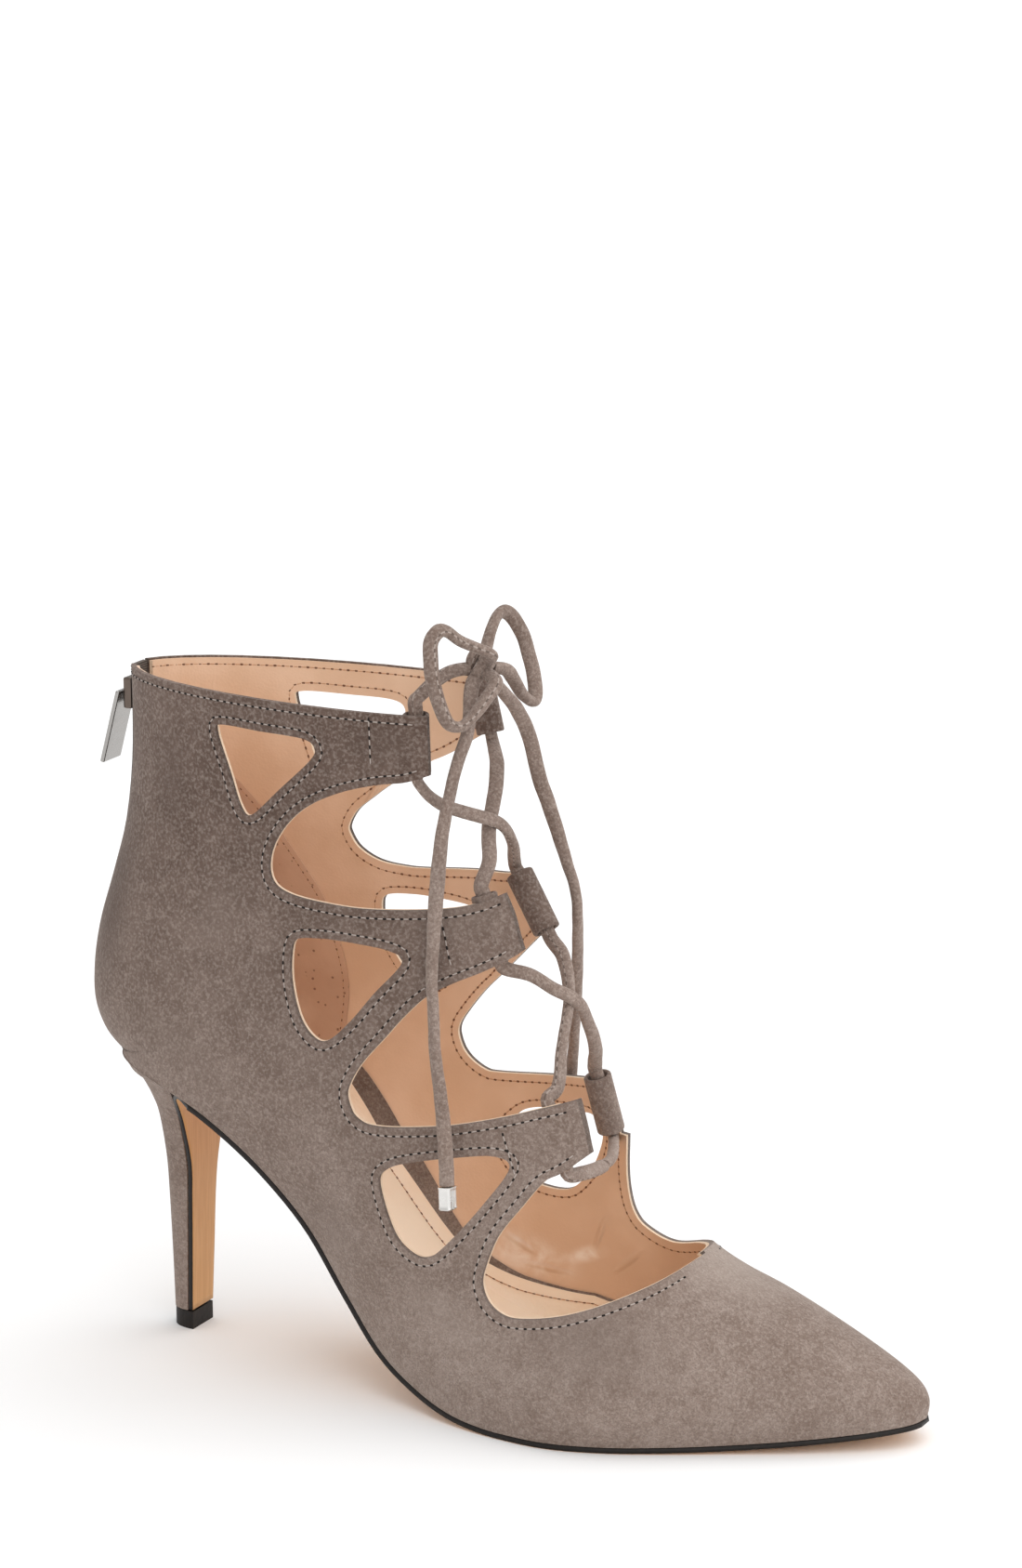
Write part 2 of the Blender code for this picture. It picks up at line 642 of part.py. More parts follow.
def build_upper(collection, tools):
    """Suede upper: one hollow wall with strap ends folded into lace tunnels."""
    rows = []
    for index in range(LAST_SECTION * ROWS_PER_SECTION + 1):
        arch = Arch(index / ROWS_PER_SECTION)
        rows.append(arch.points(LATERAL) + arch.points(MEDIAL)[-2::-1])
    upper = object_from(loft(rows), "upper", collection)
    thicken(upper, UPPER_WALL, -1.0)
    bores = []
    for side, side_name in ((LATERAL, "lateral"), (MEDIAL, "medial")):
        for strap in range(len(STRAP_ENDS[side])):
            foot, top = tunnel(side, strap)
            along = (top - foot).normalized()
            top_end = top if strap == 0 else top + along * TUNNEL_OVERRUN
            if strap == 0:
                top_end = foot + along * ((level(2.0) - foot.z) / along.z)
            outside = TUNNEL_BORE + 2 * TUNNEL_WALL
            name = f"tunnel_{side_name}_{strap + 1}"
            sleeve = rod(name, foot - along * TUNNEL_OVERRUN, top_end, outside, tools)
            boolean(upper, as_tool(sleeve), "UNION")
            reach = along * (TUNNEL_OVERRUN + TUNNEL_BORE)
            bore = rod(f"{name}_bore", foot - reach, top + reach, TUNNEL_BORE, tools)
            bores.append(as_tool(bore))
    throats = ((LATERAL, "lateral", THROAT_LATERAL_START), (MEDIAL, "medial", THROAT_MEDIAL_START))
    for side, side_name, inner in throats:
        outer = side * BALL_WIDTH
        low, high = sorted((inner, outer))
        outline = opening_outline(side)
        boolean(upper, prism(f"opening_{side_name}", outline, low, high, tools), "DIFFERENCE")
        low, high = sorted((side * CUTOUT_START, outer))
        for index, hole in enumerate(HOLES[side]):
            outline = side_view(smooth_loop(hole, 2))
            name = f"cutout_{side_name}_{index + 1}"
            boolean(upper, prism(name, outline, low, high, tools), "DIFFERENCE")
    for bore in bores:
        boolean(upper, bore, "DIFFERENCE")
    zip_foot = level(2.0) - ZIP_LENGTH
    slot_top = level(2.0) + CUTTER_MARGIN
    size = (ZIP_SLOT_FRONT - ZIP_SLOT_BACK, ZIP_SLOT_WIDTH, slot_top - zip_foot)
    centre = ((ZIP_SLOT_FRONT + ZIP_SLOT_BACK) / 2, 0.0, (slot_top + zip_foot) / 2)
    slot = block("zip_slot", size, centre, tools)
    boolean(upper, as_tool(slot), "DIFFERENCE")
    finish(upper, material("suede", (0.19, 0.165, 0.15), 0.95))
    return upper


def sole_row(along, inset, drop):
    """Points across the sole at a distance along it, never under the floor."""
    x, z = read_line(sole_line(), along, drop)
    low = read_outline(sole_outline(LATERAL, inset), along)
    high = read_outline(sole_outline(MEDIAL, inset), along)
    shares = [i / SOLE_COLUMNS for i in range(SOLE_COLUMNS + 1)]
    return [Vector((x, low + (high - low) * share, max(z, 0.0))) for share in shares]


def outline_ends(inset):
    """Distances along the sole at which an inset outline starts and ends."""
    lateral = sole_outline(LATERAL, inset)
    medial = sole_outline(MEDIAL, inset)
    first = min(s for s, _ in lateral)
    last = max(s for s, _ in medial)
    samples = [first + (last - first) * i / 400 for i in range(401)]
    wide = [s for s in samples if read_outline(medial, s) - read_outline(lateral, s) > 0.5 * MM]
    return wide[0], wide[-1]


def build_insole(collection):
    """Insole: a board inside the upper's lower edge, from toe to heel."""
    inset = UPPER_WALL + INSOLE_CLEARANCE
    start, end = outline_ends(inset)
    turns = [math.pi * i / SOLE_STEPS for i in range(SOLE_STEPS + 1)]
    rows = [sole_row(start + (end - start) * (1 - math.cos(turn)) / 2, inset, 0.0) for turn in turns]
    insole = object_from(loft(rows), "insole", collection)
    thicken(insole, INSOLE_THICKNESS, 1.0)
    finish(insole, material("tan_lining", (0.62, 0.42, 0.29), 0.6))
    return insole


def build_outsole(collection):
    """Outsole: under the upper to the heel seat, then down the heel's breast as a flap."""
    drop = SEAM_GAP + OUTSOLE_THICKNESS
    start, _ = outline_ends(-OUTSOLE_RIM)
    breast_x = BREAST_ROWS[0].x * SHOE_LENGTH + FLAP_RUN
    end = next(along for along, x, _ in sole_line() if x < breast_x)
    turns = [math.pi / 2 * i / SOLE_STEPS for i in range(SOLE_STEPS + 1)]
    rows = [sole_row(start + (end - start) * (1 - math.cos(turn)), -OUTSOLE_RIM, drop) for turn in turns]
    flap = [(r.x * SHOE_LENGTH, r.half_width * BALL_WIDTH, r.z * SEAT_HEIGHT) for r in BREAST_ROWS]
    last = rows[-1]
    flap = [(last[0].x, (last[-1].y - last[0].y) / 2, last[0].z)] + flap
    for x, half, z in smooth_line(flap, 3)[1:]:
        shares = [2 * i / SOLE_COLUMNS - 1 for i in range(SOLE_COLUMNS + 1)]
        rows.append([Vector((x, half * share, z)) for share in shares])
    outsole = object_from(loft(rows), "outsole", collection)
    thicken(outsole, OUTSOLE_THICKNESS, 1.0)
    finish(outsole, material("tan_sole_leather", (0.55, 0.33, 0.19), 0.5))
    return outsole


def heel_ring(row, steps=10):
    """Ring of heel points: round at the back, flat across the breast."""
    x0, x1 = row.front_x * SHOE_LENGTH, row.back_x * SHOE_LENGTH
    z0, z1 = row.front_z * SEAT_HEIGHT, row.back_z * SEAT_HEIGHT
    half = row.half_width * BALL_WIDTH
    ring = []
    for step in range(2 * steps + 1):
        angle = math.pi / 2 * (step - steps) / steps
        depth = math.cos(angle) ** (2 / row.roundness) if abs(step - steps) < steps else 0.0
        side = math.copysign(abs(math.sin(angle)) ** (2 / row.roundness), angle)
        ring.append(Vector((x0 + (x1 - x0) * depth, side * half, z0 + (z1 - z0) * depth)))
    return ring


def build_heel(collection):
    """Slim suede-covered heel, a solid loft from the seat to the tip."""
    flat = [tuple(row) for row in HEEL_ROWS]
    rows = [HeelRow(*values) for values in smooth_line(flat, 2)]
    rings = [heel_ring(row) for row in rows]
    bm = loft(rings, closed=True)
    bmesh.ops.holes_fill(bm, edges=[e for e in bm.edges if e.is_boundary])
    bmesh.ops.recalc_face_normals(bm, faces=bm.faces)
    heel = object_from(bm, "heel", collection)
    finish(heel, material("heel_suede", (0.19, 0.165, 0.15), 0.95))
    return heel


def build_top_lift(collection):
    """Hard black top lift under the heel's tip."""
    tip = HEEL_ROWS[-1]
    top = tip._replace(front_z=LIFT_HEIGHT / SEAT_HEIGHT, back_z=LIFT_HEIGHT / SEAT_HEIGHT)
    foot = tip._replace(front_z=0.0, back_z=0.0)
    flap = (OUTSOLE_THICKNESS + SEAM_GAP) / SHOE_LENGTH
    rings = [heel_ring(row._replace(front_x=row.front_x + flap)) for row in (top, foot)]
    bm = loft(rings, closed=True)
    bmesh.ops.holes_fill(bm, edges=[e for e in bm.edges if e.is_boundary])
    bmesh.ops.recalc_face_normals(bm, faces=bm.faces)
    lift = object_from(bm, "top_lift", collection)
    finish(lift, material("black_lift", (0.015, 0.014, 0.014), 0.45))
    return lift


def back_x(z):
    """x of the upper's back seam at a height above the seat."""
    low, high = float(FIRST_BACK_SECTION), float(LAST_SECTION)
    for _ in range(30):
        middle = (low + high) / 2
        if Arch(middle).foot_z < z:
            low = middle
        else:
            high = middle
    return Arch(low).foot_x


def build_zip(collection):
    """Zip tape in the back slot, its slider and the hinged pull tab."""
    foot = level(2.0) - ZIP_LENGTH + SEAM_GAP
    top = level(2.0) - SEAM_GAP
    half = ZIP_SLOT_WIDTH / 2 - SEAM_GAP
    sink = (UPPER_WALL - ZIP_TAPE_THICKNESS) / 2
    rows = []
    for step in range(17):
        z = foot + (top - foot) * step / 16
        x = back_x(z) + sink
        rows.append([Vector((x, half, z)), Vector((x, 0.0, z)), Vector((x, -half, z))])
    tape = object_from(loft(rows), "zip_tape", collection)
    thicken(tape, ZIP_TAPE_THICKNESS, -1.0)
    finish(tape, material("zip_tape", (0.05, 0.045, 0.04), 0.7))

    slider_z = level(2.0) - SLIDER_LENGTH
    face_x = min(back_x(slider_z + SLIDER_LENGTH / 2), back_x(slider_z - SLIDER_LENGTH / 2))
    slider_x = face_x + sink - SEAM_GAP - SLIDER_DEPTH / 2
    size = (SLIDER_DEPTH, SLIDER_WIDTH, SLIDER_LENGTH)
    slider = block("zip_slider", size, (slider_x, 0.0, slider_z), collection)
    bevel = slider.modifiers.new("edges", "BEVEL")
    bevel.width = 0.5 * MM
    bevel.segments = 2
    metal = material("silver_metal", (0.62, 0.61, 0.6), 0.25, 1.0)
    finish(slider, metal)

    hinge_x = slider_x - SLIDER_DEPTH / 2 - SEAM_GAP - PULL_THICKNESS / 2
    pull = block(
        "zip_pull",
        (PULL_THICKNESS, PULL_WIDTH, PULL_LENGTH),
        (0.0, 0.0, -PULL_LENGTH / 2 + PULL_THICKNESS / 2),
        collection,
    )
    bevel = pull.modifiers.new("edges", "BEVEL")
    bevel.width = 0.4 * MM
    bevel.segments = 2
    finish(pull, material("pull_metal", (0.62, 0.61, 0.6), 0.22, 1.0))
    pull.location = (hinge_x, 0.0, slider_z)
    pull.rotation_euler = (0.0, PULL_TILT, 0.0)
    return tape, slider, pull


def tube(name, route, diameter, collection):
    """Cord: a POLY curve with a round bevel and filled caps."""
    curve = bpy.data.curves.new(name, "CURVE")
    curve.dimensions = "3D"
    curve.bevel_depth = diameter / 2
    curve.bevel_resolution = 2
    curve.use_fill_caps = True
    spline = curve.splines.new("POLY")
    spline.points.add(len(route) - 1)
    for point, place in zip(spline.points, route):
        point.co = (*place, 1.0)
    made = bpy.data.objects.new(name, curve)
    collection.objects.link(made)
    return made


def tube_mesh(name, route, diameter, collection):
    """Cord as a closed mesh, ready for a Boolean."""
    drawn = tube(f"{name}_line", route, diameter, collection)
    depsgraph = bpy.context.evaluated_depsgraph_get()
    mesh = bpy.data.meshes.new_from_object(drawn.evaluated_get(depsgraph))
    bm = bmesh.new()
    bm.from_mesh(mesh)
    bmesh.ops.remove_doubles(bm, verts=bm.verts, dist=0.02 * MM)
    bmesh.ops.recalc_face_normals(bm, faces=bm.faces)
    bpy.data.objects.remove(drawn)
    return object_from(bm, name, collection)


def millimetres(points):
    """Hand-chosen route points in metres."""
    return [Vector(p) * MM for p in points]


def at_knot(point):
    """Place beside the knot where a cord that comes from a point ends."""
    knot = Vector(KNOT_CENTRE) * MM
    return knot + (point - knot).normalized() * (KNOT_WIDTH / 2 + KNOT_CLEARANCE)


def half_lace(first_side):
    """Route of one half of the lace from the bottom bar up to the knot."""
    sides = {LATERAL: "lateral", MEDIAL: "medial"}
    bar = millimetres(BOTTOM_BAR)
    if first_side == MEDIAL:
        bar = bar[::-1]
    route = [bar[1], bar[0]]
    side = first_side
    for strap in (2, 1, 0):
        foot, top = tunnel(side, strap)
        along = (top - foot).normalized() * TUNNEL_STRAIGHT
        route += [foot - along, foot, (foot + top) / 2, top, top + along]
        following = f"{sides[-side]}_{strap}" if strap else "knot"
        route += millimetres(CROSSING_STRANDS[f"{sides[side]}_{strap + 1}_to_{following}"])
        side = -side
    route.append(at_knot(route[-1]))
    return spaced_line(route, CORD_STEP / 2)


def build_lace(collection, tools):
    """Lace: crossings as one joined solid, then the knot, bow loops, ends and metal tips."""
    suede = material("lace_suede", (0.2, 0.175, 0.155), 0.95)
    crossings = tube_mesh("lace_crossings", half_lace(LATERAL), LACE_DIAMETER, collection)
    partner = tube_mesh("lace_medial_half", half_lace(MEDIAL), LACE_DIAMETER, tools)
    boolean(crossings, as_tool(partner), "UNION")
    finish(crossings, suede)

    bm = bmesh.new()
    bmesh.ops.create_uvsphere(bm, u_segments=14, v_segments=9, radius=KNOT_WIDTH / 2)
    bmesh.ops.translate(bm, vec=Vector(KNOT_CENTRE) * MM, verts=bm.verts)
    knot = object_from(bm, "lace_knot", collection)
    finish(knot, suede)

    for name, route in CORD_ROUTES.items():
        line = millimetres(route)
        line.insert(0, at_knot(line[0]))
        if "bow" in name:
            line.append(at_knot(line[-1]))
        points = spaced_line(line, CORD_STEP * (0.5 if "bow" in name else 1.0))
        cord = tube(name, points, LACE_DIAMETER, collection)
        cord.data.materials.append(suede)
        if "end" in name:
            along = (points[-1] - points[-2]).normalized()
            start = points[-1] + along * SEAM_GAP
            tip_name = name.replace("end", "tip")
            tip = rod(tip_name, start, start + along * LACE_TIP_LENGTH, LACE_TIP_DIAMETER, collection)
            finish(tip, material("tip_metal", (0.62, 0.61, 0.6), 0.3, 1.0))


def main():
    """Builds every sub-part of the shoe."""
    for obj in list(bpy.data.objects):
        bpy.data.objects.remove(obj)
    scene = bpy.context.scene
    shoe = bpy.data.collections.new("lace_up_heel")
    tools = bpy.data.collections.new("lace_up_heel_cutters")
    scene.collection.children.link(shoe)
    scene.collection.children.link(tools)
    build_upper(shoe, tools)
    build_insole(shoe)
    build_outsole(shoe)
    build_heel(shoe)
    build_top_lift(shoe)
    build_zip(shoe)
    build_lace(shoe, tools)


main()
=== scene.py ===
"""Looks of the lace-up heel: suede shells, lining, stitches, lace, sole, zip, light and camera.

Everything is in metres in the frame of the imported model: +X to the toe, +Y to the inner
(medial) side, +Z up, with the origin on the floor under the heel's top lift.
"""

import logging
import math
from collections.abc import Callable, Iterable, Sequence
from dataclasses import dataclass, field
from enum import IntEnum

import bmesh
import bpy
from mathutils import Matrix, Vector


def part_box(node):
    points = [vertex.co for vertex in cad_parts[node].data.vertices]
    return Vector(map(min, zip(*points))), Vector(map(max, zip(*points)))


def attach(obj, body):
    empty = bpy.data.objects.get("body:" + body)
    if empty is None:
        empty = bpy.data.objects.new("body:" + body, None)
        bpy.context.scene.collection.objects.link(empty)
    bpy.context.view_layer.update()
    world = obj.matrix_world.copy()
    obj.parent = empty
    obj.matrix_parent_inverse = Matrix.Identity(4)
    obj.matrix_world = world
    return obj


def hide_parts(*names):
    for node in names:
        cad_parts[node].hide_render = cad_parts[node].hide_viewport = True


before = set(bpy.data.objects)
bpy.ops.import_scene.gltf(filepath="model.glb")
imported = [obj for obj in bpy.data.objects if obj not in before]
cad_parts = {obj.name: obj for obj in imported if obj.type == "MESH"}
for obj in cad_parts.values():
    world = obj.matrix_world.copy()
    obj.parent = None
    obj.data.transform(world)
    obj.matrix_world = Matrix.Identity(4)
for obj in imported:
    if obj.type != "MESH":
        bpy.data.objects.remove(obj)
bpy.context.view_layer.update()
log = logging.getLogger("lace_up_heel")

MM = 0.001
BODY = "shoe"
SHARP_ANGLE = math.radians(38)
THINNEST = 0.1 * MM

Colour = tuple[float, float, float]
Socket = bpy.types.NodeSocket


class Side(IntEnum):
    """Side of the foot, as the sign of y."""

    LATERAL = -1
    MEDIAL = 1


@dataclass(frozen=True)
class ShoeSizes:
    """Driving sizes of the shoe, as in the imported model."""

    length: float = 0.228
    ball_width: float = 0.079
    seat_height: float = 0.075
    shaft_height: float = 0.099
    suede: float = 0.00115
    lining: float = 0.00080
    shell_gap: float = 0.00004
    lace: float = 0.0034
    tunnel_bore: float = 0.0050
    tunnel_wall: float = 0.0010
    zip_length: float = 0.080
    zip_slot: float = 0.0064

    @property
    def tunnel_depth(self) -> float:
        """Depth of a lace tunnel's axis under the outer surface."""
        return self.tunnel_bore / 2 + self.tunnel_wall

    @property
    def collar(self) -> float:
        """Height of the collar."""
        return self.seat_height + self.shaft_height

    def level(self, share: float) -> float:
        """Height of a level: 0 to 1 climbs to the heel seat, 1 to 2 on to the collar."""
        if share <= 1.0:
            return share * self.seat_height
        return self.seat_height + (share - 1.0) * self.shaft_height


SIZES = ShoeSizes()


@dataclass(frozen=True)
class Section:
    """One section of the upper. x in shoe lengths, z in levels, widths in ball widths."""

    foot_x: float
    foot_z: float
    ridge_x: float
    ridge_z: float
    swing: float
    lateral: float
    medial: float
    edge_lateral: float
    edge_medial: float
    widest: float
    low_round: float
    high_round: float

    def row(self) -> tuple[float, ...]:
        """The section's numbers in the order of its fields."""
        return tuple(vars(self).values())


SECTIONS = (
    Section(0.898, 0.085, 0.900, 0.132, 0.082, -0.082, 0.082, -0.082, 0.082, 0.30, 2.00, 1.90),
    Section(0.892, 0.081, 0.896, 0.163, 0.081, -0.020, 0.134, -0.025, 0.129, 0.30, 2.00, 1.90),
    Section(0.876, 0.075, 0.883, 0.205, 0.080, 0.035, 0.180, 0.028, 0.172, 0.30, 2.00, 1.90),
    Section(0.844, 0.064, 0.855, 0.255, 0.077, 0.109, 0.233, 0.100, 0.224, 0.30, 2.00, 1.90),
    Section(0.789, 0.048, 0.809, 0.322, 0.070, 0.210, 0.309, 0.196, 0.296, 0.28, 2.00, 1.85),
    Section(0.728, 0.033, 0.757, 0.394, 0.056, 0.304, 0.387, 0.286, 0.372, 0.26, 2.00, 1.80),
    Section(0.667, 0.025, 0.711, 0.454, 0.041, 0.395, 0.446, 0.377, 0.428, 0.24, 2.00, 1.80),
    Section(0.605, 0.0213, 0.675, 0.498, 0.029, 0.476, 0.473, 0.458, 0.456, 0.23, 2.00, 1.80),
    Section(0.544, 0.0213, 0.647, 0.545, 0.020, 0.522, 0.473, 0.504, 0.456, 0.23, 2.00, 1.85),
    Section(0.482, 0.0213, 0.623, 0.606, 0.013, 0.514, 0.456, 0.494, 0.433, 0.25, 2.00, 1.90),
    Section(0.425, 0.037, 0.602, 0.682, 0.006, 0.491, 0.443, 0.461, 0.405, 0.28, 2.00, 1.95),
    Section(0.373, 0.080, 0.584, 0.770, 0.003, 0.468, 0.433, 0.410, 0.362, 0.32, 2.00, 2.00),
    Section(0.320, 0.171, 0.568, 0.880, 0.000, 0.451, 0.428, 0.362, 0.324, 0.36, 2.00, 2.00),
    Section(0.268, 0.333, 0.553, 0.973, 0.000, 0.438, 0.423, 0.311, 0.299, 0.40, 2.00, 2.00),
    Section(0.215, 0.539, 0.537, 1.051, 0.000, 0.428, 0.418, 0.284, 0.284, 0.44, 2.00, 2.00),
    Section(0.158, 0.728, 0.523, 1.121, 0.000, 0.418, 0.410, 0.304, 0.296, 0.48, 2.10, 2.00),
    Section(0.096, 0.875, 0.511, 1.192, 0.000, 0.403, 0.395, 0.322, 0.311, 0.52, 2.20, 2.00),
    Section(0.035, 0.949, 0.500, 1.253, 0.000, 0.388, 0.380, 0.296, 0.289, 0.548, 2.30, 2.00),
    Section(-0.018, 0.981, 0.491, 1.303, 0.000, 0.375, 0.370, 0.225, 0.220, 0.544, 2.40, 2.00),
    Section(-0.048, 0.995, 0.485, 1.339, 0.000, 0.367, 0.362, 0.134, 0.132, 0.542, 2.43, 2.00),
    Section(-0.060, 1.000, 0.481, 1.364, 0.000, 0.362, 0.359, 0.000, 0.000, 0.554, 2.46, 2.00),
    Section(-0.084, 1.044, 0.474, 1.406, 0.000, 0.349, 0.347, 0.000, 0.000, 0.604, 2.37, 2.00),
    Section(-0.098, 1.116, 0.466, 1.455, 0.000, 0.330, 0.327, 0.000, 0.000, 0.624, 2.39, 2.10),
    Section(-0.100, 1.207, 0.459, 1.509, 0.000, 0.314, 0.311, 0.000, 0.000, 0.60, 2.30, 2.10),
    Section(-0.0915, 1.323, 0.453, 1.570, 0.000, 0.303, 0.300, 0.000, 0.000, 0.60, 2.25, 2.20),
    Section(-0.0740, 1.459, 0.448, 1.642, 0.000, 0.295, 0.295, 0.000, 0.000, 0.60, 2.12, 2.30),
    Section(-0.0575, 1.602, 0.446, 1.727, 0.000, 0.295, 0.295, 0.000, 0.000, 0.60, 2.00, 2.40),
    Section(-0.0485, 1.778, 0.446, 1.844, 0.000, 0.304, 0.304, 0.000, 0.000, 0.60, 1.90, 2.50),
    Section(-0.0480, 2.000, 0.447, 2.000, 0.000, 0.319, 0.316, 0.000, 0.000, 0.60, 1.90, 2.50),
)
FIRST_BACK_SECTION = 20
LAST_SECTION = len(SECTIONS) - 1
SECTION_SEARCH_STEPS = 22

# Side-view outlines, (x in shoe lengths, z in levels). A gap is a smooth curve, and a
# strap end is the straight edge between two gaps, lower corner last.
STRAP_ENDS = {
    Side.LATERAL: (
        ((0.365, 2.000), (0.365, 1.853)),
        ((0.432, 1.552), (0.453, 1.412)),
        ((0.521, 1.053), (0.542, 0.907)),
    ),
    Side.MEDIAL: (
        ((0.350, 2.000), (0.366, 1.884)),
        ((0.416, 1.554), (0.457, 1.440)),
        ((0.504, 1.029), (0.512, 0.851)),
    ),
}
GAPS = {
    Side.LATERAL: (
        (
            (0.339, 1.832), (0.306, 1.819), (0.264, 1.790), (0.224, 1.745), (0.197, 1.693),
            (0.179, 1.633), (0.173, 1.578), (0.179, 1.535), (0.200, 1.512), (0.241, 1.502),
            (0.294, 1.500), (0.375, 1.514), (0.409, 1.530),
        ),
        (
            (0.442, 1.392), (0.419, 1.364), (0.393, 1.337), (0.365, 1.299), (0.342, 1.244),
            (0.324, 1.190), (0.302, 1.126), (0.289, 1.070), (0.288, 1.034), (0.300, 0.988),
            (0.324, 0.971), (0.388, 0.992), (0.460, 1.025), (0.491, 1.041),
        ),
        (
            (0.523, 0.859), (0.507, 0.831), (0.489, 0.751), (0.469, 0.657), (0.459, 0.561),
            (0.457, 0.499), (0.467, 0.441), (0.487, 0.408), (0.513, 0.409), (0.547, 0.427),
            (0.579, 0.456), (0.606, 0.487), (0.629, 0.517), (0.645, 0.548), (0.650, 0.580),
            (0.653, 0.667),
        ),
    ),
    Side.MEDIAL: (
        (
            (0.337, 1.862), (0.291, 1.796), (0.262, 1.762), (0.218, 1.696), (0.196, 1.657),
            (0.178, 1.621), (0.168, 1.581), (0.169, 1.557), (0.180, 1.521), (0.203, 1.495),
            (0.232, 1.487), (0.261, 1.489), (0.323, 1.506), (0.375, 1.519),
        ),
        (
            (0.418, 1.380), (0.353, 1.238), (0.323, 1.173), (0.300, 1.111), (0.286, 1.061),
            (0.286, 1.021), (0.296, 0.971), (0.313, 0.935), (0.330, 0.928), (0.379, 0.943),
            (0.465, 0.985),
        ),
        (
            (0.502, 0.701), (0.500, 0.601), (0.505, 0.519), (0.520, 0.468), (0.557, 0.439),
            (0.605, 0.491), (0.636, 0.540), (0.650, 0.580), (0.653, 0.667),
        ),
    ),
}
HOLES = {
    Side.LATERAL: (
        (
            (0.114, 1.919), (0.167, 1.919), (0.220, 1.916), (0.235, 1.895), (0.228, 1.861),
            (0.189, 1.778), (0.151, 1.700), (0.136, 1.713), (0.121, 1.803), (0.106, 1.897),
        ),
        (
            (0.211, 1.404), (0.243, 1.415), (0.281, 1.414), (0.322, 1.405), (0.338, 1.380),
            (0.310, 1.300), (0.286, 1.229), (0.263, 1.176), (0.245, 1.166), (0.223, 1.208),
            (0.207, 1.292), (0.204, 1.368),
        ),
        (
            (0.330, 0.781), (0.341, 0.837), (0.370, 0.872), (0.419, 0.903), (0.458, 0.913),
            (0.474, 0.875), (0.451, 0.756), (0.421, 0.640), (0.395, 0.565), (0.372, 0.565),
            (0.348, 0.627),
        ),
    ),
}
HOLES[Side.MEDIAL] = (
    HOLES[Side.LATERAL][0],
    HOLES[Side.LATERAL][1],
    (
        (0.333, 0.701), (0.353, 0.785), (0.379, 0.824), (0.435, 0.844), (0.460, 0.843),
        (0.470, 0.781), (0.454, 0.661), (0.433, 0.579), (0.412, 0.541), (0.377, 0.549),
        (0.349, 0.600),
    ),
)

# Cord routes in millimetres, given along the lace. A strand is the stretch from
# the top of one tunnel to the foot of the next.
CROSSING_STRANDS = {
    "lateral_3_to_medial_2": (
        (113.4, -11.6, 83.0), (113.0, -9.0, 91.5), (112.0, -4.5, 97.5), (110.8, -0.5, 101.5),
        (109.0, 2.5, 106.0), (105.5, 6.5, 110.5),
    ),
    "medial_3_to_lateral_2": (
        (113.6, 8.5, 88.0), (113.4, 4.0, 96.0), (113.2, -0.8, 101.6), (108.5, -6.0, 106.0),
        (104.8, -9.3, 109.4),
    ),
    "lateral_2_to_medial_1": (
        (93.3, -9.2, 136.5), (89.8, -2.5, 143.0), (87.2, 6.0, 150.0), (84.6, 12.0, 155.5),
    ),
    "medial_2_to_lateral_1": (
        (91.7, 6.5, 137.5), (92.3, -0.8, 143.8), (88.6, -5.8, 146.6), (84.0, -10.6, 149.0),
        (81.0, -14.6, 151.8),
    ),
    "lateral_1_to_knot": ((79.0, -17.6, 178.0), (80.6, -13.6, 180.6), (82.6, -8.6, 182.4)),
    "medial_1_to_knot": ((78.6, 16.4, 178.2), (80.8, 11.6, 181.4), (82.8, 5.4, 183.0)),
}
BOTTOM_BAR = ((120.4, -7.0, 61.0), (120.0, 0.0, 60.2), (118.6, 8.0, 59.8))
KNOT_CENTRE = (87.5, -2.0, 183.0)
CORD_ROUTES = {
    "lace_bow_lateral": (
        (92.2, -6.2, 187.2), (89.8, -9.9, 189.4), (87.0, -13.0, 191.5), (85.5, -16.0, 194.0),
        (84.5, -18.5, 194.5), (83.5, -20.5, 192.0), (84.0, -21.6, 187.5), (85.0, -22.2, 182.5),
        (86.5, -22.0, 177.5), (88.0, -20.8, 173.0), (90.0, -18.5, 171.6), (91.6, -15.5, 173.2),
        (93.4, -11.6, 177.0), (94.2, -7.6, 180.6),
    ),
    "lace_bow_medial": (
        (87.0, 2.6, 188.4), (86.8, 5.0, 191.0), (86.6, 8.0, 193.2), (87.0, 11.0, 194.0),
        (87.8, 14.0, 192.0), (89.0, 17.0, 187.5), (89.8, 19.0, 182.0), (90.6, 20.0, 177.0),
        (91.4, 19.5, 173.0), (91.6, 18.0, 170.8), (91.4, 15.5, 171.5), (91.0, 12.0, 174.2),
        (90.8, 8.4, 178.2), (90.6, 5.0, 181.0),
    ),
    "lace_end_lateral": (
        (88.0, -8.2, 178.6), (89.5, -13.0, 169.5), (88.5, -17.0, 161.5), (87.5, -19.5, 153.0),
        (86.5, -21.0, 144.5), (86.0, -22.5, 133.0), (85.5, -23.5, 120.5), (86.0, -25.5, 110.5),
        (88.0, -28.5, 102.5), (90.0, -31.5, 93.5), (92.5, -33.5, 83.5), (94.5, -35.0, 72.0),
        (95.5, -36.0, 62.0),
    ),
    "lace_end_medial": (
        (91.0, 0.8, 177.4), (92.2, 5.2, 173.0), (92.4, 9.0, 169.2), (93.2, 12.0, 164.0),
        (94.0, 13.5, 158.5), (95.0, 14.5, 152.5), (97.0, 15.5, 146.0), (99.0, 16.5, 139.0),
        (101.0, 17.5, 131.5), (103.0, 18.5, 124.0), (103.0, 20.0, 116.0), (100.5, 25.0, 99.0),
        (98.0, 29.0, 85.5), (95.5, 32.4, 73.0), (93.8, 34.2, 65.5), (92.0, 35.4, 58.5),
    ),
}
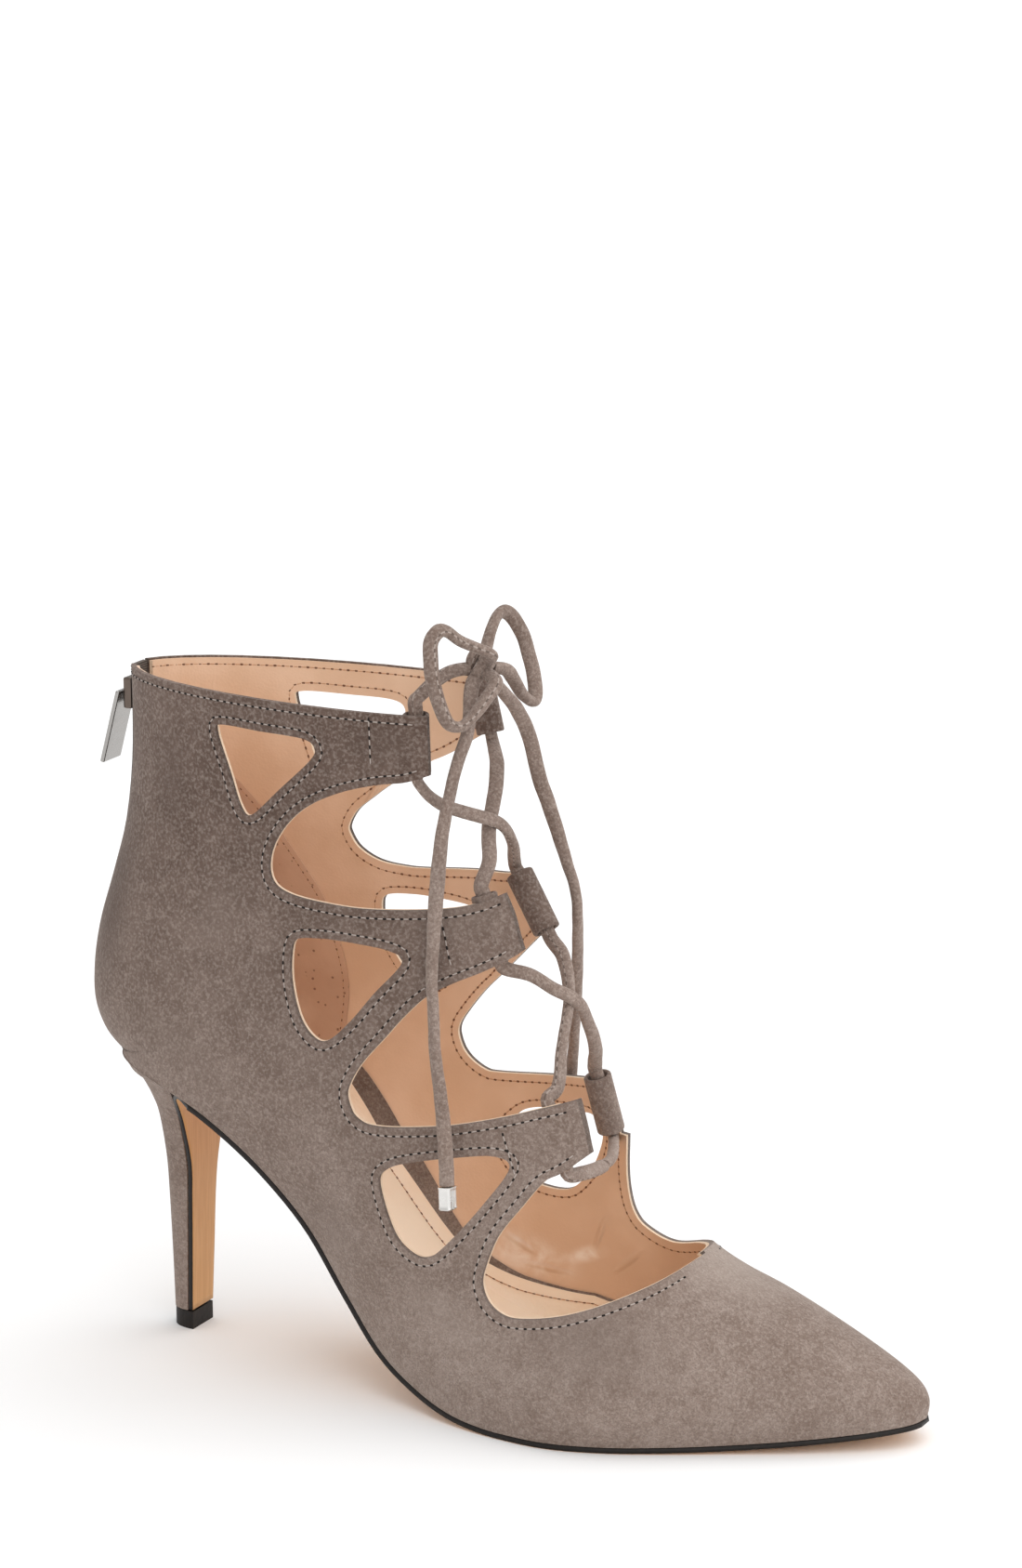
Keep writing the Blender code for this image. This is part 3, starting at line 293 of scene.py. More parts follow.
# Lighter and darker patches of the suede, painted light and shade with some brushed nap in them: middle,
# half axes (mm), turn (degrees), colour, strength.
SUEDE_PAINTED_LIGHT_AND_SHADE = (
    ((-14.0, -14.0, 118.0), (14.0, 30.0, 34.0), (0.0, 6.0, 0.0), (0.080, 0.053, 0.043), 0.75),
    ((8.0, -28.0, 150.0), (9.0, 30.0, 22.0), (0.0, 0.0, 0.0), (0.095, 0.064, 0.052), 0.60),
    ((72.0, -26.0, 166.0), (14.0, 30.0, 9.0), (0.0, 0.0, 0.0), (0.095, 0.066, 0.054), 0.35),
    ((24.0, -30.0, 118.0), (10.0, 26.0, 20.0), (0.0, 30.0, 0.0), (0.215, 0.165, 0.140), 0.35),
    ((12.0, -30.0, 84.0), (30.0, 26.0, 7.0), (0.0, 24.0, 0.0), (0.250, 0.195, 0.165), 0.30),
    ((92.0, -24.0, 126.0), (22.0, 24.0, 11.0), (0.0, 0.0, 0.0), (0.230, 0.178, 0.150), 0.50),
    ((60.0, -34.0, 44.0), (16.0, 24.0, 12.0), (0.0, 35.0, 0.0), (0.160, 0.118, 0.098), 0.35),
    ((96.0, -34.0, 28.0), (22.0, 24.0, 9.0), (0.0, 28.0, 0.0), (0.330, 0.265, 0.228), 0.35),
    ((134.0, -30.0, 27.0), (30.0, 26.0, 17.0), (0.0, 15.0, 0.0), (0.175, 0.130, 0.108), 0.55),
    ((152.0, 4.0, 38.0), (26.0, 22.0, 14.0), (0.0, 20.0, 0.0), (0.420, 0.350, 0.305), 0.35),
)
# Painted highlights on the glossy lining: middle, half axes (mm), turn (degrees).
LINING_PAINTED_HIGHLIGHTS = (
    ((84.0, 31.0, 22.0), (18.0, 14.0, 7.0), (0.0, 14.0, 0.0)),
    ((100.0, 33.0, 24.0), (9.0, 12.0, 3.0), (0.0, -20.0, 0.0)),
)
# Wrinkles of the lining: middle, half axes (mm) and turn (degrees) of soft ridges.
LINING_WRINKLES = (
    ((38.0, 22.0, 152.0), (1.2, 9.0, 14.0), (0.0, 38.0, 0.0)),
    ((46.0, 22.0, 143.0), (1.0, 9.0, 12.0), (0.0, 32.0, 0.0)),
    ((4.0, 20.0, 165.0), (0.8, 9.0, 13.0), (0.0, 4.0, 0.0)),
    ((82.0, 31.0, 25.0), (7.0, 12.0, 1.2), (0.0, 30.0, 0.0)),
    ((90.0, 32.0, 19.0), (8.0, 12.0, 1.2), (0.0, 8.0, 0.0)),
    ((76.0, 29.0, 31.0), (6.0, 12.0, 1.4), (0.0, 52.0, 0.0)),
    ((112.0, 32.0, 24.0), (1.4, 12.0, 8.0), (0.0, 48.0, 0.0)),
    ((104.0, 32.0, 30.0), (1.2, 12.0, 7.0), (0.0, 20.0, 0.0)),
    ((133.0, 24.0, 27.0), (2.0, 12.0, 16.0), (0.0, 62.0, 0.0)),
    ((139.0, 24.0, 20.0), (1.6, 12.0, 14.0), (0.0, 70.0, 0.0)),
    ((127.0, 26.0, 21.0), (1.6, 12.0, 12.0), (0.0, 48.0, 0.0)),
    ((146.0, 20.0, 25.0), (1.5, 12.0, 15.0), (0.0, 55.0, 0.0)),
)

# Edges on the far inner wall, read from the photo: place in the fan, rise of the sock's
# edge, rise of the grey band's edge.
BAND_ROWS = (
    (8.0, 0.204, 0.214), (9.0, 0.202, 0.213), (10.25, 0.196, 0.208), (11.0, 0.149, 0.160),
    (11.7, 0.101, 0.115), (12.27, 0.066, 0.091), (12.87, 0.030, 0.076), (13.47, 0.028, 0.086),
    (14.0, 0.034, 0.095), (14.6, 0.042, 0.100), (15.55, 0.073, 0.130), (16.54, 0.130, 0.150),
    (18.0, 0.120, 0.130), (19.6, 0.060, 0.065),
)
# Front and upper edge of the counter inside, in the side view, in millimetres.
COUNTER_EDGE = (
    (27.0, 60.0), (31.0, 69.0), (33.6, 78.0), (34.9, 88.9), (34.1, 100.5), (30.9, 111.6),
    (26.5, 119.1), (20.5, 127.8), (14.0, 136.5), (6.0, 145.0), (-2.0, 149.0), (-16.0, 151.0),
)
SOCK_STITCHES = (
    (14.6, 0.0), (14.09, 0.0), (13.44, 0.0), (12.81, 0.0), (12.11, 0.038), (11.48, 0.068),
    (10.84, 0.113), (10.12, 0.160), (9.0, 0.150),
)


@dataclass(frozen=True)
class HeelRing:
    """One ring of the heel: x in shoe lengths, z in seat heights, width in ball widths."""

    front_x: float
    front_z: float
    back_x: float
    back_z: float
    half_width: float
    roundness: float


HEEL_RINGS = (
    HeelRing(0.0340, 0.9400, -0.0540, 0.9700, 0.2700, 1.85),
    HeelRing(0.0318, 0.9180, -0.0465, 0.9460, 0.2350, 1.90),
    HeelRing(0.0286, 0.8880, -0.0395, 0.9180, 0.2050, 1.95),
    HeelRing(0.0250, 0.8320, -0.0290, 0.8460, 0.1620, 2.00),
    HeelRing(0.0228, 0.7600, -0.0222, 0.7650, 0.1260, 2.00),
    HeelRing(0.0222, 0.6130, -0.0165, 0.6130, 0.0870, 2.10),
    HeelRing(0.0202, 0.4800, -0.0142, 0.4800, 0.0750, 2.10),
    HeelRing(0.0180, 0.2670, -0.0112, 0.2670, 0.0690, 2.10),
    HeelRing(0.0160, 0.0667, -0.0092, 0.0667, 0.0645, 2.10),
)

# Rows of the sole's flap on the heel breast: x in shoe lengths, z in seat heights,
# half width in ball widths.
BREAST_ROWS = (
    (0.0525, 0.903, 0.272),
    (0.0390, 0.880, 0.222),
    (0.0333, 0.832, 0.175),
    (0.0307, 0.760, 0.134),
    (0.0298, 0.613, 0.089),
    (0.0276, 0.480, 0.077),
    (0.0254, 0.267, 0.071),
    (0.0232, 0.0707, 0.066),
)


def curve_value(points: Sequence[Sequence[float]], position: float) -> tuple[float, ...]:
    """Reads a smooth curve through points.

    Args:
        points: Points or rows of numbers that the curve passes.
        position: Place on the curve, counted in points.

    Returns:
        The curve's numbers at that place.
    """
    last = len(points) - 1
    position = min(max(position, 0.0), last)
    index = min(int(position), last - 1)
    t = position - index
    here, ahead = points[index], points[index + 1]
    before = points[index - 1] if index else tuple(2 * a - b for a, b in zip(here, ahead))
    after = points[index + 2] if index + 2 <= last else tuple(2 * b - a for a, b in zip(here, ahead))
    return tuple(
        0.5 * (2 * b + (c - a) * t + (2 * a - 5 * b + 4 * c - d) * t * t + (3 * b - a - 3 * c + d) * t**3)
        for a, b, c, d in zip(before, here, ahead, after)
    )


def smooth_line(points: Sequence[Sequence[float]], steps: int) -> list[tuple[float, ...]]:
    """Points of the smooth curve through an open line, with steps to each span."""
    count = (len(points) - 1) * steps
    return [curve_value(points, i / steps) for i in range(count + 1)]


def smooth_loop(points: Sequence[Sequence[float]], steps: int) -> list[tuple[float, ...]]:
    """Points of the smooth curve through a closed outline, with steps to each span."""
    wrapped = [points[-1], *points, points[0], points[1]]
    return [curve_value(wrapped, 1 + i / steps) for i in range(len(points) * steps)]


def table_value(rows: Sequence[Sequence[float]], place: float, column: int) -> float:
    """Value of a table's column at a place, straight between its rows.

    Args:
        rows: The table, sorted by its first column.
        place: Value of the first column.
        column: The column read.

    Returns:
        The value, that of the nearest row past either end.
    """
    if place <= rows[0][0]:
        return rows[0][column]
    for a, b in zip(rows, rows[1:]):
        if place <= b[0]:
            return a[column] + (b[column] - a[column]) * (place - a[0]) / (b[0] - a[0])
    return rows[-1][column]


def even_line(points: Iterable[Sequence[float]], spacing: float) -> list[Vector]:
    """Points evenly spaced along a polyline, its two ends among them.

    Args:
        points: The polyline.
        spacing: Wished distance between points, in metres.

    Returns:
        The points.
    """
    fine = [Vector(p) for p in points]
    travelled = [0.0]
    for a, b in zip(fine, fine[1:]):
        travelled.append(travelled[-1] + (b - a).length)
    count = max(2, round(travelled[-1] / spacing))
    result = []
    index = 0
    for step in range(count + 1):
        target = travelled[-1] * step / count
        while index < len(fine) - 2 and travelled[index + 1] < target:
            index += 1
        span = travelled[index + 1] - travelled[index]
        share = (target - travelled[index]) / span if span > 0 else 0.0
        result.append(fine[index].lerp(fine[index + 1], share))
    return result


def spread(first: float, final: float, steps: int) -> list[float]:
    """Numbers evenly spaced from the first to the final, both among them."""
    return [first + (final - first) * i / steps for i in range(steps + 1)]


def circle(sides: int) -> list[float]:
    """Angles of the corners of a round ring."""
    return [2 * math.pi * i / sides for i in range(sides)]


@dataclass(frozen=True)
class Arch:
    """The upper's section at one place of the fan, in metres."""

    foot_x: float
    foot_z: float
    ridge_x: float
    ridge_z: float
    swing: float
    reach: dict[Side, float]
    edge: dict[Side, float]
    widest: float
    low_round: float
    high_round: float

    def width(self, side: Side) -> float:
        """Widest reach of the half arch from its middle line."""
        return self.reach[side] - side * self.swing

    def foot_share(self, side: Side) -> float:
        """How far below its widest point the arch starts on one side.

        Args:
            side: Side of the foot.

        Returns:
            Share of the way from the widest point down to the arch's lowest.
        """
        width = self.width(side)
        if width < THINNEST:
            return 0.0
        edge = min(max((self.edge[side] - side * self.swing) / width, 0.0), 1.0)
        return (1.0 - edge**self.low_round) ** (1.0 / self.low_round)

    def half_width(self, side: Side, rise: float) -> float:
        """Signed y of the arch at a share of its rise from foot to ridge.

        Args:
            side: Side of the foot.
            rise: The share.

        Returns:
            The y in metres.
        """
        width = self.width(side)
        if width < THINNEST:
            return self.swing
        if rise < self.widest:
            offset = self.foot_share(side) * (1.0 - rise / self.widest)
            roundness = self.low_round
        else:
            offset = (rise - self.widest) / (1.0 - self.widest)
            roundness = self.high_round
        bulge = (1.0 - min(offset, 1.0) ** roundness) ** (1.0 / roundness)
        return self.swing + side * width * bulge

    @property
    def tall(self) -> float:
        """Distance from foot to ridge."""
        return math.hypot(self.ridge_x - self.foot_x, self.ridge_z - self.foot_z)

    def point(self, side: Side, rise: float) -> Vector:
        """Point of the arch at a share of its rise."""
        x = self.foot_x + (self.ridge_x - self.foot_x) * rise
        z = self.foot_z + (self.ridge_z - self.foot_z) * rise
        return Vector((x, self.half_width(side, rise), z))

    def points(self, side: Side, lower: int, upper: int) -> list[Vector]:
        """Points of the half arch from foot to ridge, closer together where it bends.

        Args:
            side: Side of the foot.
            lower: Spans below the widest point.
            upper: Spans above it.

        Returns:
            The points.
        """
        foot = self.foot_share(side)
        turn = math.asin(min(foot ** (self.low_round / 2), 1.0))
        rises = []
        for step in range(lower):
            if foot > 0.01:
                angle = turn * (1.0 - step / lower)
                rises.append(self.widest * (1.0 - math.sin(angle) ** (2 / self.low_round) / foot))
            else:
                rises.append(self.widest * step / lower)
        for step in range(upper + 1):
            share = math.sin(math.pi / 2 * step / upper) ** (2 / self.high_round)
            rises.append(self.widest + (1.0 - self.widest) * share)
        return [self.point(side, rise) for rise in rises]


@dataclass(frozen=True)
class StrapEnd:
    """Straight end of a strap in the side view, at y 0."""

    upper: Vector
    lower: Vector

    @property
    def along(self) -> Vector:
        """Direction from the lower corner to the upper one."""
        return (self.upper - self.lower).normalized()

    @property
    def back(self) -> Vector:
        """Direction into the strap, square to its end."""
        along = self.along
        return Vector((-abs(along.z), 0.0, math.copysign(along.x, along.x * along.z)))


@dataclass
class Last:
    """The upper's outer surface as a function, worked out from the sections."""

    sizes: ShoeSizes = SIZES
    rows: list[tuple[float, ...]] = field(default_factory=lambda: [s.row() for s in SECTIONS])
    lowest: float = field(default_factory=lambda: min(s.foot_z for s in SECTIONS))

    def arch(self, place: float) -> Arch:
        """Section at a place of the fan, counted in sections from the toe tip."""
        row = Section(*curve_value(self.rows, place))
        width = self.sizes.ball_width
        return Arch(
            foot_x=row.foot_x * self.sizes.length,
            foot_z=self.sizes.level(max(row.foot_z, self.lowest)),
            ridge_x=row.ridge_x * self.sizes.length,
            ridge_z=self.sizes.level(row.ridge_z),
            swing=row.swing * width,
            reach={Side.LATERAL: row.lateral * width, Side.MEDIAL: row.medial * width},
            edge={Side.LATERAL: row.edge_lateral * width, Side.MEDIAL: row.edge_medial * width},
            widest=row.widest,
            low_round=row.low_round,
            high_round=row.high_round,
        )

    def find(self, x: float, z: float) -> tuple[Arch, float]:
        """Arch through a place of the side view, and the rise on it, over 1 above the ridge.

        Args:
            x: Place in the side view.
            z: Its height.

        Returns:
            The arch and the rise.
        """
        low, high = 0.0, float(LAST_SECTION)
        for _ in range(SECTION_SEARCH_STEPS):
            middle = (low + high) / 2
            arch = self.arch(middle)
            run_x, run_z = arch.ridge_x - arch.foot_x, arch.ridge_z - arch.foot_z
            if (x - arch.foot_x) * run_z - (z - arch.foot_z) * run_x > 0.0:
                high = middle
            else:
                low = middle
        arch = self.arch(low)
        run = Vector((arch.ridge_x - arch.foot_x, arch.ridge_z - arch.foot_z))
        rise = Vector((x - arch.foot_x, z - arch.foot_z)).dot(run) / run.length_squared
        return arch, rise

    def wall(self, side: Side, x: float, z: float) -> Vector:
        """Point of the outer surface at a place of the side view."""
        arch, rise = self.find(x, z)
        return Vector((x, arch.half_width(side, min(max(rise, 0.0), 1.0)), z))

    def normal(self, side: Side, x: float, z: float) -> Vector:
        """Outward normal of the outer surface at a place of the side view.

        Args:
            side: Side of the foot.
            x: Place in the side view.
            z: Its height.

        Returns:
            The normal.
        """
        step = 0.5 * MM
        along = self.wall(side, x + step, z) - self.wall(side, x - step, z)
        up = self.wall(side, x, z + step) - self.wall(side, x, z - step)
        normal = along.cross(up)
        return (normal if normal.y * side > 0 else -normal).normalized()

    def inside(self, side: Side, place: float, rise: float, depth: float) -> Vector:
        """Point at a depth under the outer surface, from a place of the fan and a rise.

        Args:
            side: Side of the foot.
            place: Place of the fan, in sections.
            rise: Share of the way from foot to ridge.
            depth: Depth in metres, below 0 for a point outside.

        Returns:
            The point.
        """
        arch = self.arch(place)
        along = self.arch(place + 0.02).point(side, rise) - self.arch(place - 0.02).point(side, rise)
        up = arch.point(side, rise + 0.01) - arch.point(side, max(rise - 0.01, 0.0))
        normal = along.cross(up).normalized()
        return arch.point(side, rise) - (normal if normal.y * side > 0 else -normal) * depth

    def surface_rows(self, steps: int, lower: int, upper: int) -> list[list[Vector]]:
        """Rows of surface points, lateral foot over the ridge to the medial foot.

        Args:
            steps: Rows to each section.
            lower: Spans below the widest point.
            upper: Spans above it.

        Returns:
            The rows.
        """
        rows = []
        for index in range(LAST_SECTION * steps + 1):
            arch = self.arch(index / steps)
            half = arch.points(Side.LATERAL, lower, upper)
            rows.append(half + arch.points(Side.MEDIAL, lower, upper)[-2::-1])
        return rows

    def side_view(self, points: Iterable[Sequence[float]]) -> list[Vector]:
        """Outline points in metres, at y 0, from shares of length and levels."""
        return [Vector((x * self.sizes.length, 0.0, self.sizes.level(z))) for x, z in points]

    def strap_end(self, side: Side, strap: int) -> StrapEnd:
        """The straight end of one strap."""
        return StrapEnd(*self.side_view(STRAP_ENDS[side][strap]))

    def tunnel(self, side: Side, strap: int) -> tuple[Vector, Vector]:
        """Foot and top of the lace tunnel inside a strap end, on its axis.

        Args:
            side: Side of the foot.
            strap: The strap, counted from the collar.

        Returns:
            The two points.
        """
        end = self.strap_end(side, strap)
        depth = self.sizes.tunnel_depth
        axis = []
        for corner in (end.lower, end.upper):
            place = corner + end.back * depth
            normal = self.normal(side, place.x, place.z)
            axis.append(self.wall(side, place.x, place.z) - normal * depth)
        return axis[0], axis[1]


def keep(
    obj: bpy.types.Object,
    materials: Sequence[bpy.types.Material],
    slot: str,
    nodes: Sequence[str] = (),
) -> None:
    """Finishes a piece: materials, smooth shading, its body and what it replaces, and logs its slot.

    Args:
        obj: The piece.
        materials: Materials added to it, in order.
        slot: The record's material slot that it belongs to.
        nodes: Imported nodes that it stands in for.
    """
    for finish in materials:
        obj.data.materials.append(finish)
    obj.data.shade_smooth()
    obj.data.set_sharp_from_angle(angle=SHARP_ANGLE)
    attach(obj, BODY)
    if nodes:
        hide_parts(*nodes)
    log.info("%s: %d faces in slot %s", obj.name, len(obj.data.polygons), slot)


def mesh_object(bm: bmesh.types.BMesh, name: str) -> bpy.types.Object:
    """Object at the origin from a bmesh, which it frees."""
    mesh = bpy.data.meshes.new(name)
    bm.to_mesh(mesh)
    bm.free()
    made = bpy.data.objects.new(name, mesh)
    bpy.context.scene.collection.objects.link(made)
    return made


def closed_object(bm: bmesh.types.BMesh, name: str) -> bpy.types.Object:
    """Object from closed forms, their faces turned outwards."""
    bmesh.ops.recalc_face_normals(bm, faces=bm.faces)
    return mesh_object(bm, name)


def bridge(
    bm: bmesh.types.BMesh,
    a: Sequence[bmesh.types.BMVert],
    b: Sequence[bmesh.types.BMVert],
    closed: bool = True,
) -> list[bmesh.types.BMFace]:
    """Adds the faces between two rows of vertices.

    Args:
        bm: Mesh that the faces are added to.
        a: First row.
        b: Second row, with as many vertices.
        closed: Whether the rows are rings.

    Returns:
        The new faces, in the order of the rows.
    """
    count = len(a) if closed else len(a) - 1
    return [bm.faces.new((a[i], a[(i + 1) % len(a)], b[(i + 1) % len(a)], b[i])) for i in range(count)]


def loft(rows: Sequence[Sequence[Vector]], closed: bool = False) -> bmesh.types.BMesh:
    """Surface through rows of points; closed rows join their two ends."""
    bm = bmesh.new()
    grid = [[bm.verts.new(p) for p in row] for row in rows]
    for a, b in zip(grid, grid[1:]):
        bridge(bm, a, b, closed)
    bmesh.ops.remove_doubles(bm, verts=bm.verts, dist=0.01 * MM)
    return bm


def flatten(obj: bpy.types.Object) -> None:
    """Applies an object's modifiers to its mesh."""
    depsgraph = bpy.context.evaluated_depsgraph_get()
    mesh = bpy.data.meshes.new_from_object(obj.evaluated_get(depsgraph))
    old = obj.data
    obj.modifiers.clear()
    obj.data = mesh
    bpy.data.meshes.remove(old)


def prism(bm: bmesh.types.BMesh, outline: Sequence[Vector], low: float, high: float) -> None:
    """Adds a side-view outline extruded along Y to a cutter's bmesh.

    Args:
        bm: The cutter's bmesh.
        outline: The outline.
        low: y where it starts.
        high: y where it ends.
    """
    ring = [bm.verts.new((p.x, low, p.z)) for p in outline]
    face = bm.faces.new(ring)
    pushed = bmesh.ops.extrude_face_region(bm, geom=[face])
    moved = [v for v in pushed["geom"] if isinstance(v, bmesh.types.BMVert)]
    bmesh.ops.translate(bm, vec=(0.0, high - low, 0.0), verts=moved)


class SoleLine:
    """The sole's edge: its line in the side view and its outline from above."""

    def __init__(self, last: Last, samples: int = 8) -> None:
        """Samples the edge from the toe tip to the heel's back."""
        self.last = last
        self.arches = [last.arch(i / samples) for i in range(FIRST_BACK_SECTION * samples + 1)]
        self.travelled = [0.0]
        for a, b in zip(self.arches, self.arches[1:]):
            self.travelled.append(self.travelled[-1] + math.hypot(b.foot_x - a.foot_x, b.foot_z - a.foot_z))
        self._outlines: dict[tuple[Side, float], list[tuple[float, float]]] = {}

    def outline(self, side: Side, inset: float) -> list[tuple[float, float]]:
        """Edge as sorted (distance, y) pairs, moved inwards.

        Args:
            side: Side of the foot.
            inset: How far it is moved, in metres.

        Returns:
            The pairs.
        """
        key = (side, inset)
        if key not in self._outlines:
            raw = [(s, side * a.edge[side]) for s, a in zip(self.travelled, self.arches)]
            moved = []
            for index, (s, y) in enumerate(raw):
                s0, y0 = raw[max(index - 1, 0)]
                s1, y1 = raw[min(index + 1, len(raw) - 1)]
                length = max(math.hypot(s1 - s0, y1 - y0), 1e-9)
                step_s, step_y = side * (y1 - y0) / length * inset, side * (s1 - s0) / length * inset
                moved.append((s + step_s, y - step_y))
            self._outlines[key] = sorted(moved)
        return self._outlines[key]

    def edge_y(self, side: Side, inset: float, along: float) -> float:
        """y of the edge at a distance along the sole.

        Args:
            side: Side of the foot.
            inset: How far the edge is moved inwards.
            along: The distance.

        Returns:
            The y in metres.
        """
        pairs = self.outline(side, inset)
        if along <= pairs[0][0]:
            return pairs[0][1]
        for (s0, y0), (s1, y1) in zip(pairs, pairs[1:]):
            if s0 <= along <= s1:
                return y0 + (y1 - y0) * ((along - s0) / (s1 - s0) if s1 > s0 else 0.0)
        return pairs[-1][1]

    def place(self, along: float, drop: float) -> tuple[float, float]:
        """x and z of the sole line at a distance, moved down square to it.

        Args:
            along: The distance.
            drop: How far it is moved down.

        Returns:
            The x and z.
        """
        for s0, s1, a, b in zip(self.travelled, self.travelled[1:], self.arches, self.arches[1:]):
            if along <= s1 or b is self.arches[-1]:
                share = (along - s0) / (s1 - s0)
                dx, dz = (b.foot_x - a.foot_x) / (s1 - s0), (b.foot_z - a.foot_z) / (s1 - s0)
                x = a.foot_x + (b.foot_x - a.foot_x) * share
                return x - dz * drop, a.foot_z + (b.foot_z - a.foot_z) * share + dx * drop
        raise ValueError("the sole line has no rows")

    def ends(self, inset: float) -> tuple[float, float]:
        """Distances at which an inset outline starts and ends."""
        low, high = self.outline(Side.LATERAL, inset), self.outline(Side.MEDIAL, inset)
        first, final = low[0][0], high[-1][0]
        samples = spread(first, final, 400)
        wide = [
            s for s in samples
            if self.edge_y(Side.MEDIAL, inset, s) - self.edge_y(Side.LATERAL, inset, s) > 0.5 * MM
        ]
        return wide[0], wide[-1]

    def row(self, along: float, inset: float, drop: float, columns: int) -> list[Vector]:
        """Points across the sole at a distance along it, never under the floor.

        Args:
            along: The distance.
            inset: How far the edges are moved inwards.
            drop: How far the row is moved down.
            columns: Spans across.

        Returns:
            The points, lateral edge first.
        """
        x, z = self.place(along, drop)
        low = self.edge_y(Side.LATERAL, inset, along)
        high = self.edge_y(Side.MEDIAL, inset, along)
        return [Vector((x, y, max(z, 0.0))) for y in spread(low, high, columns)]


def solid_sheet(bm: bmesh.types.BMesh, name: str, thickness: float, offset: float) -> bpy.types.Object:
    """Object from an open surface with a wall given by Solidify.

    Args:
        bm: The open surface, freed here.
        name: Name of the object.
        thickness: Wall thickness in metres.
        offset: Solidify's offset, -1 for a wall wholly on the inner side.

    Returns:
        The object, its modifier not yet applied.
    """
    made = mesh_object(bm, name)
    wall = made.modifiers.new("wall", "SOLIDIFY")
    wall.thickness = thickness
    wall.offset = offset
    wall.thickness_clamp = 0.0
    return made


@dataclass
class Cutters:
    """The cutters that open the upper's shells at throat, gaps, cut-outs and zip."""

    last: Last
    steps: int = 8
    made: list[bpy.types.Object] = field(default_factory=list)

    def opening(self, side: Side) -> list[Vector]:
        """Side-view outline of all that the throat leaves open on one side.

        Args:
            side: Side of the foot.

        Returns:
            The outline.
        """
        ends = STRAP_ENDS[side]
        line: list[Sequence[float]] = [ends[0][0]]
        for (_, lower), gap, following in zip(ends, GAPS[side], (*ends[1:], None)):
            line += smooth_line([lower, *gap] + ([following[0]] if following else []), self.steps)
        outline = self.last.side_view(line)
        past_toe, past_collar = SIZES.length, SIZES.collar + 0.02
        return [
            *outline,
            Vector((past_toe, 0.0, outline[-1].z)),
            Vector((past_toe, 0.0, past_collar)),
            Vector((outline[0].x, 0.0, past_collar)),
        ]

    def strap_trim(self, side: Side, strap: int) -> list[Vector]:
        """Side-view strip that takes a strap's end back to its tunnel's axis.

        Args:
            side: Side of the foot.
            strap: The strap, counted from the collar.

        Returns:
            The strip's four corners.
        """
        end = self.last.strap_end(side, strap)
        below, above = (1.5, 8.0) if strap == 0 else (2.6, 2.6)
        low, high = end.lower - end.along * below * MM, end.upper + end.along * above * MM
        front, rear = end.back * -4 * MM, end.back * SIZES.tunnel_depth
        return [low + front, high + front, high + rear, low + rear]

    def add(self, name: str, outlines: Iterable[Sequence[Vector]], low: float, high: float) -> None:
        """Makes one cutter of side-view outlines that don't overlap.

        Args:
            name: Name of the cutter.
            outlines: Its outlines.
            low: y of one of its faces.
            high: y of the other.
        """
        bm = bmesh.new()
        for outline in outlines:
            prism(bm, outline, *sorted((low, high)))
        self.made.append(closed_object(bm, name))

    def build(self) -> None:
        """Makes all cutters. The suede of the lateral strap ends isn't trimmed."""
        for side in Side:
            name = side.name.lower()
            throat_start = 2.2 * MM if side == Side.LATERAL else 1.0 * MM
            start, end = side * 2 * MM, side * SIZES.ball_width
            self.add(f"cut_throat_{name}", [self.opening(side)], throat_start, end)
            for shell in ("suede", "lining") if side == Side.MEDIAL else ("lining",):
                trims = [self.strap_trim(side, strap) for strap in range(len(STRAP_ENDS[side]))]
                self.add(f"cut_{shell}_straps_{name}", trims, start, end)
            holes = [self.last.side_view(smooth_loop(hole, self.steps)) for hole in HOLES[side]]
            self.add(f"cut_holes_{name}", holes, start, end)
        half = SIZES.zip_slot / 2
        foot, top = SIZES.collar - SIZES.zip_length, SIZES.collar + 0.01
        behind, within = -0.032, -0.002
        corners = ((behind, foot), (within, foot), (within, top), (behind, top))
        self.add("cut_zip", [[Vector((x, 0.0, z)) for x, z in corners]], -half, half)

    def cut(self, shell: bpy.types.Object, edge: bpy.types.Material, other: str) -> None:
        """Cuts the openings into a shell, leaving out those of the other shell.

        Args:
            shell: The shell.
            edge: Material of the cut faces.
            other: Name of the other shell in its cutters' names.
        """
        for tool in self.made:
            if f"_{other}_" in tool.name:
                continue
            tool.data.materials.clear()
            tool.data.materials.append(edge)
            cut = shell.modifiers.new(tool.name, "BOOLEAN")
            cut.operation = "DIFFERENCE"
            cut.solver = "EXACT"
            cut.material_mode = "TRANSFER"
            cut.object = tool
        flatten(shell)

    def remove(self) -> None:
        """Removes the cutters once every shell is cut."""
        for tool in self.made:
            bpy.data.objects.remove(tool)
        self.made.clear()


def frames_along(points: Sequence[Vector]) -> list[tuple[Vector, Vector, Vector]]:
    """Tangent, side and up vectors along a line, carried without twist."""
    frames = []
    up = Vector((0.0, 0.0, 1.0))
    for index in range(len(points)):
        before, after = points[max(index - 1, 0)], points[min(index + 1, len(points) - 1)]
        tangent = (after - before).normalized()
        if index == 0 and abs(tangent.z) > 0.9:
            up = Vector((1.0, 0.0, 0.0))
        up = (up - tangent * up.dot(tangent)).normalized()
        frames.append((tangent, tangent.cross(up), up))
    return frames


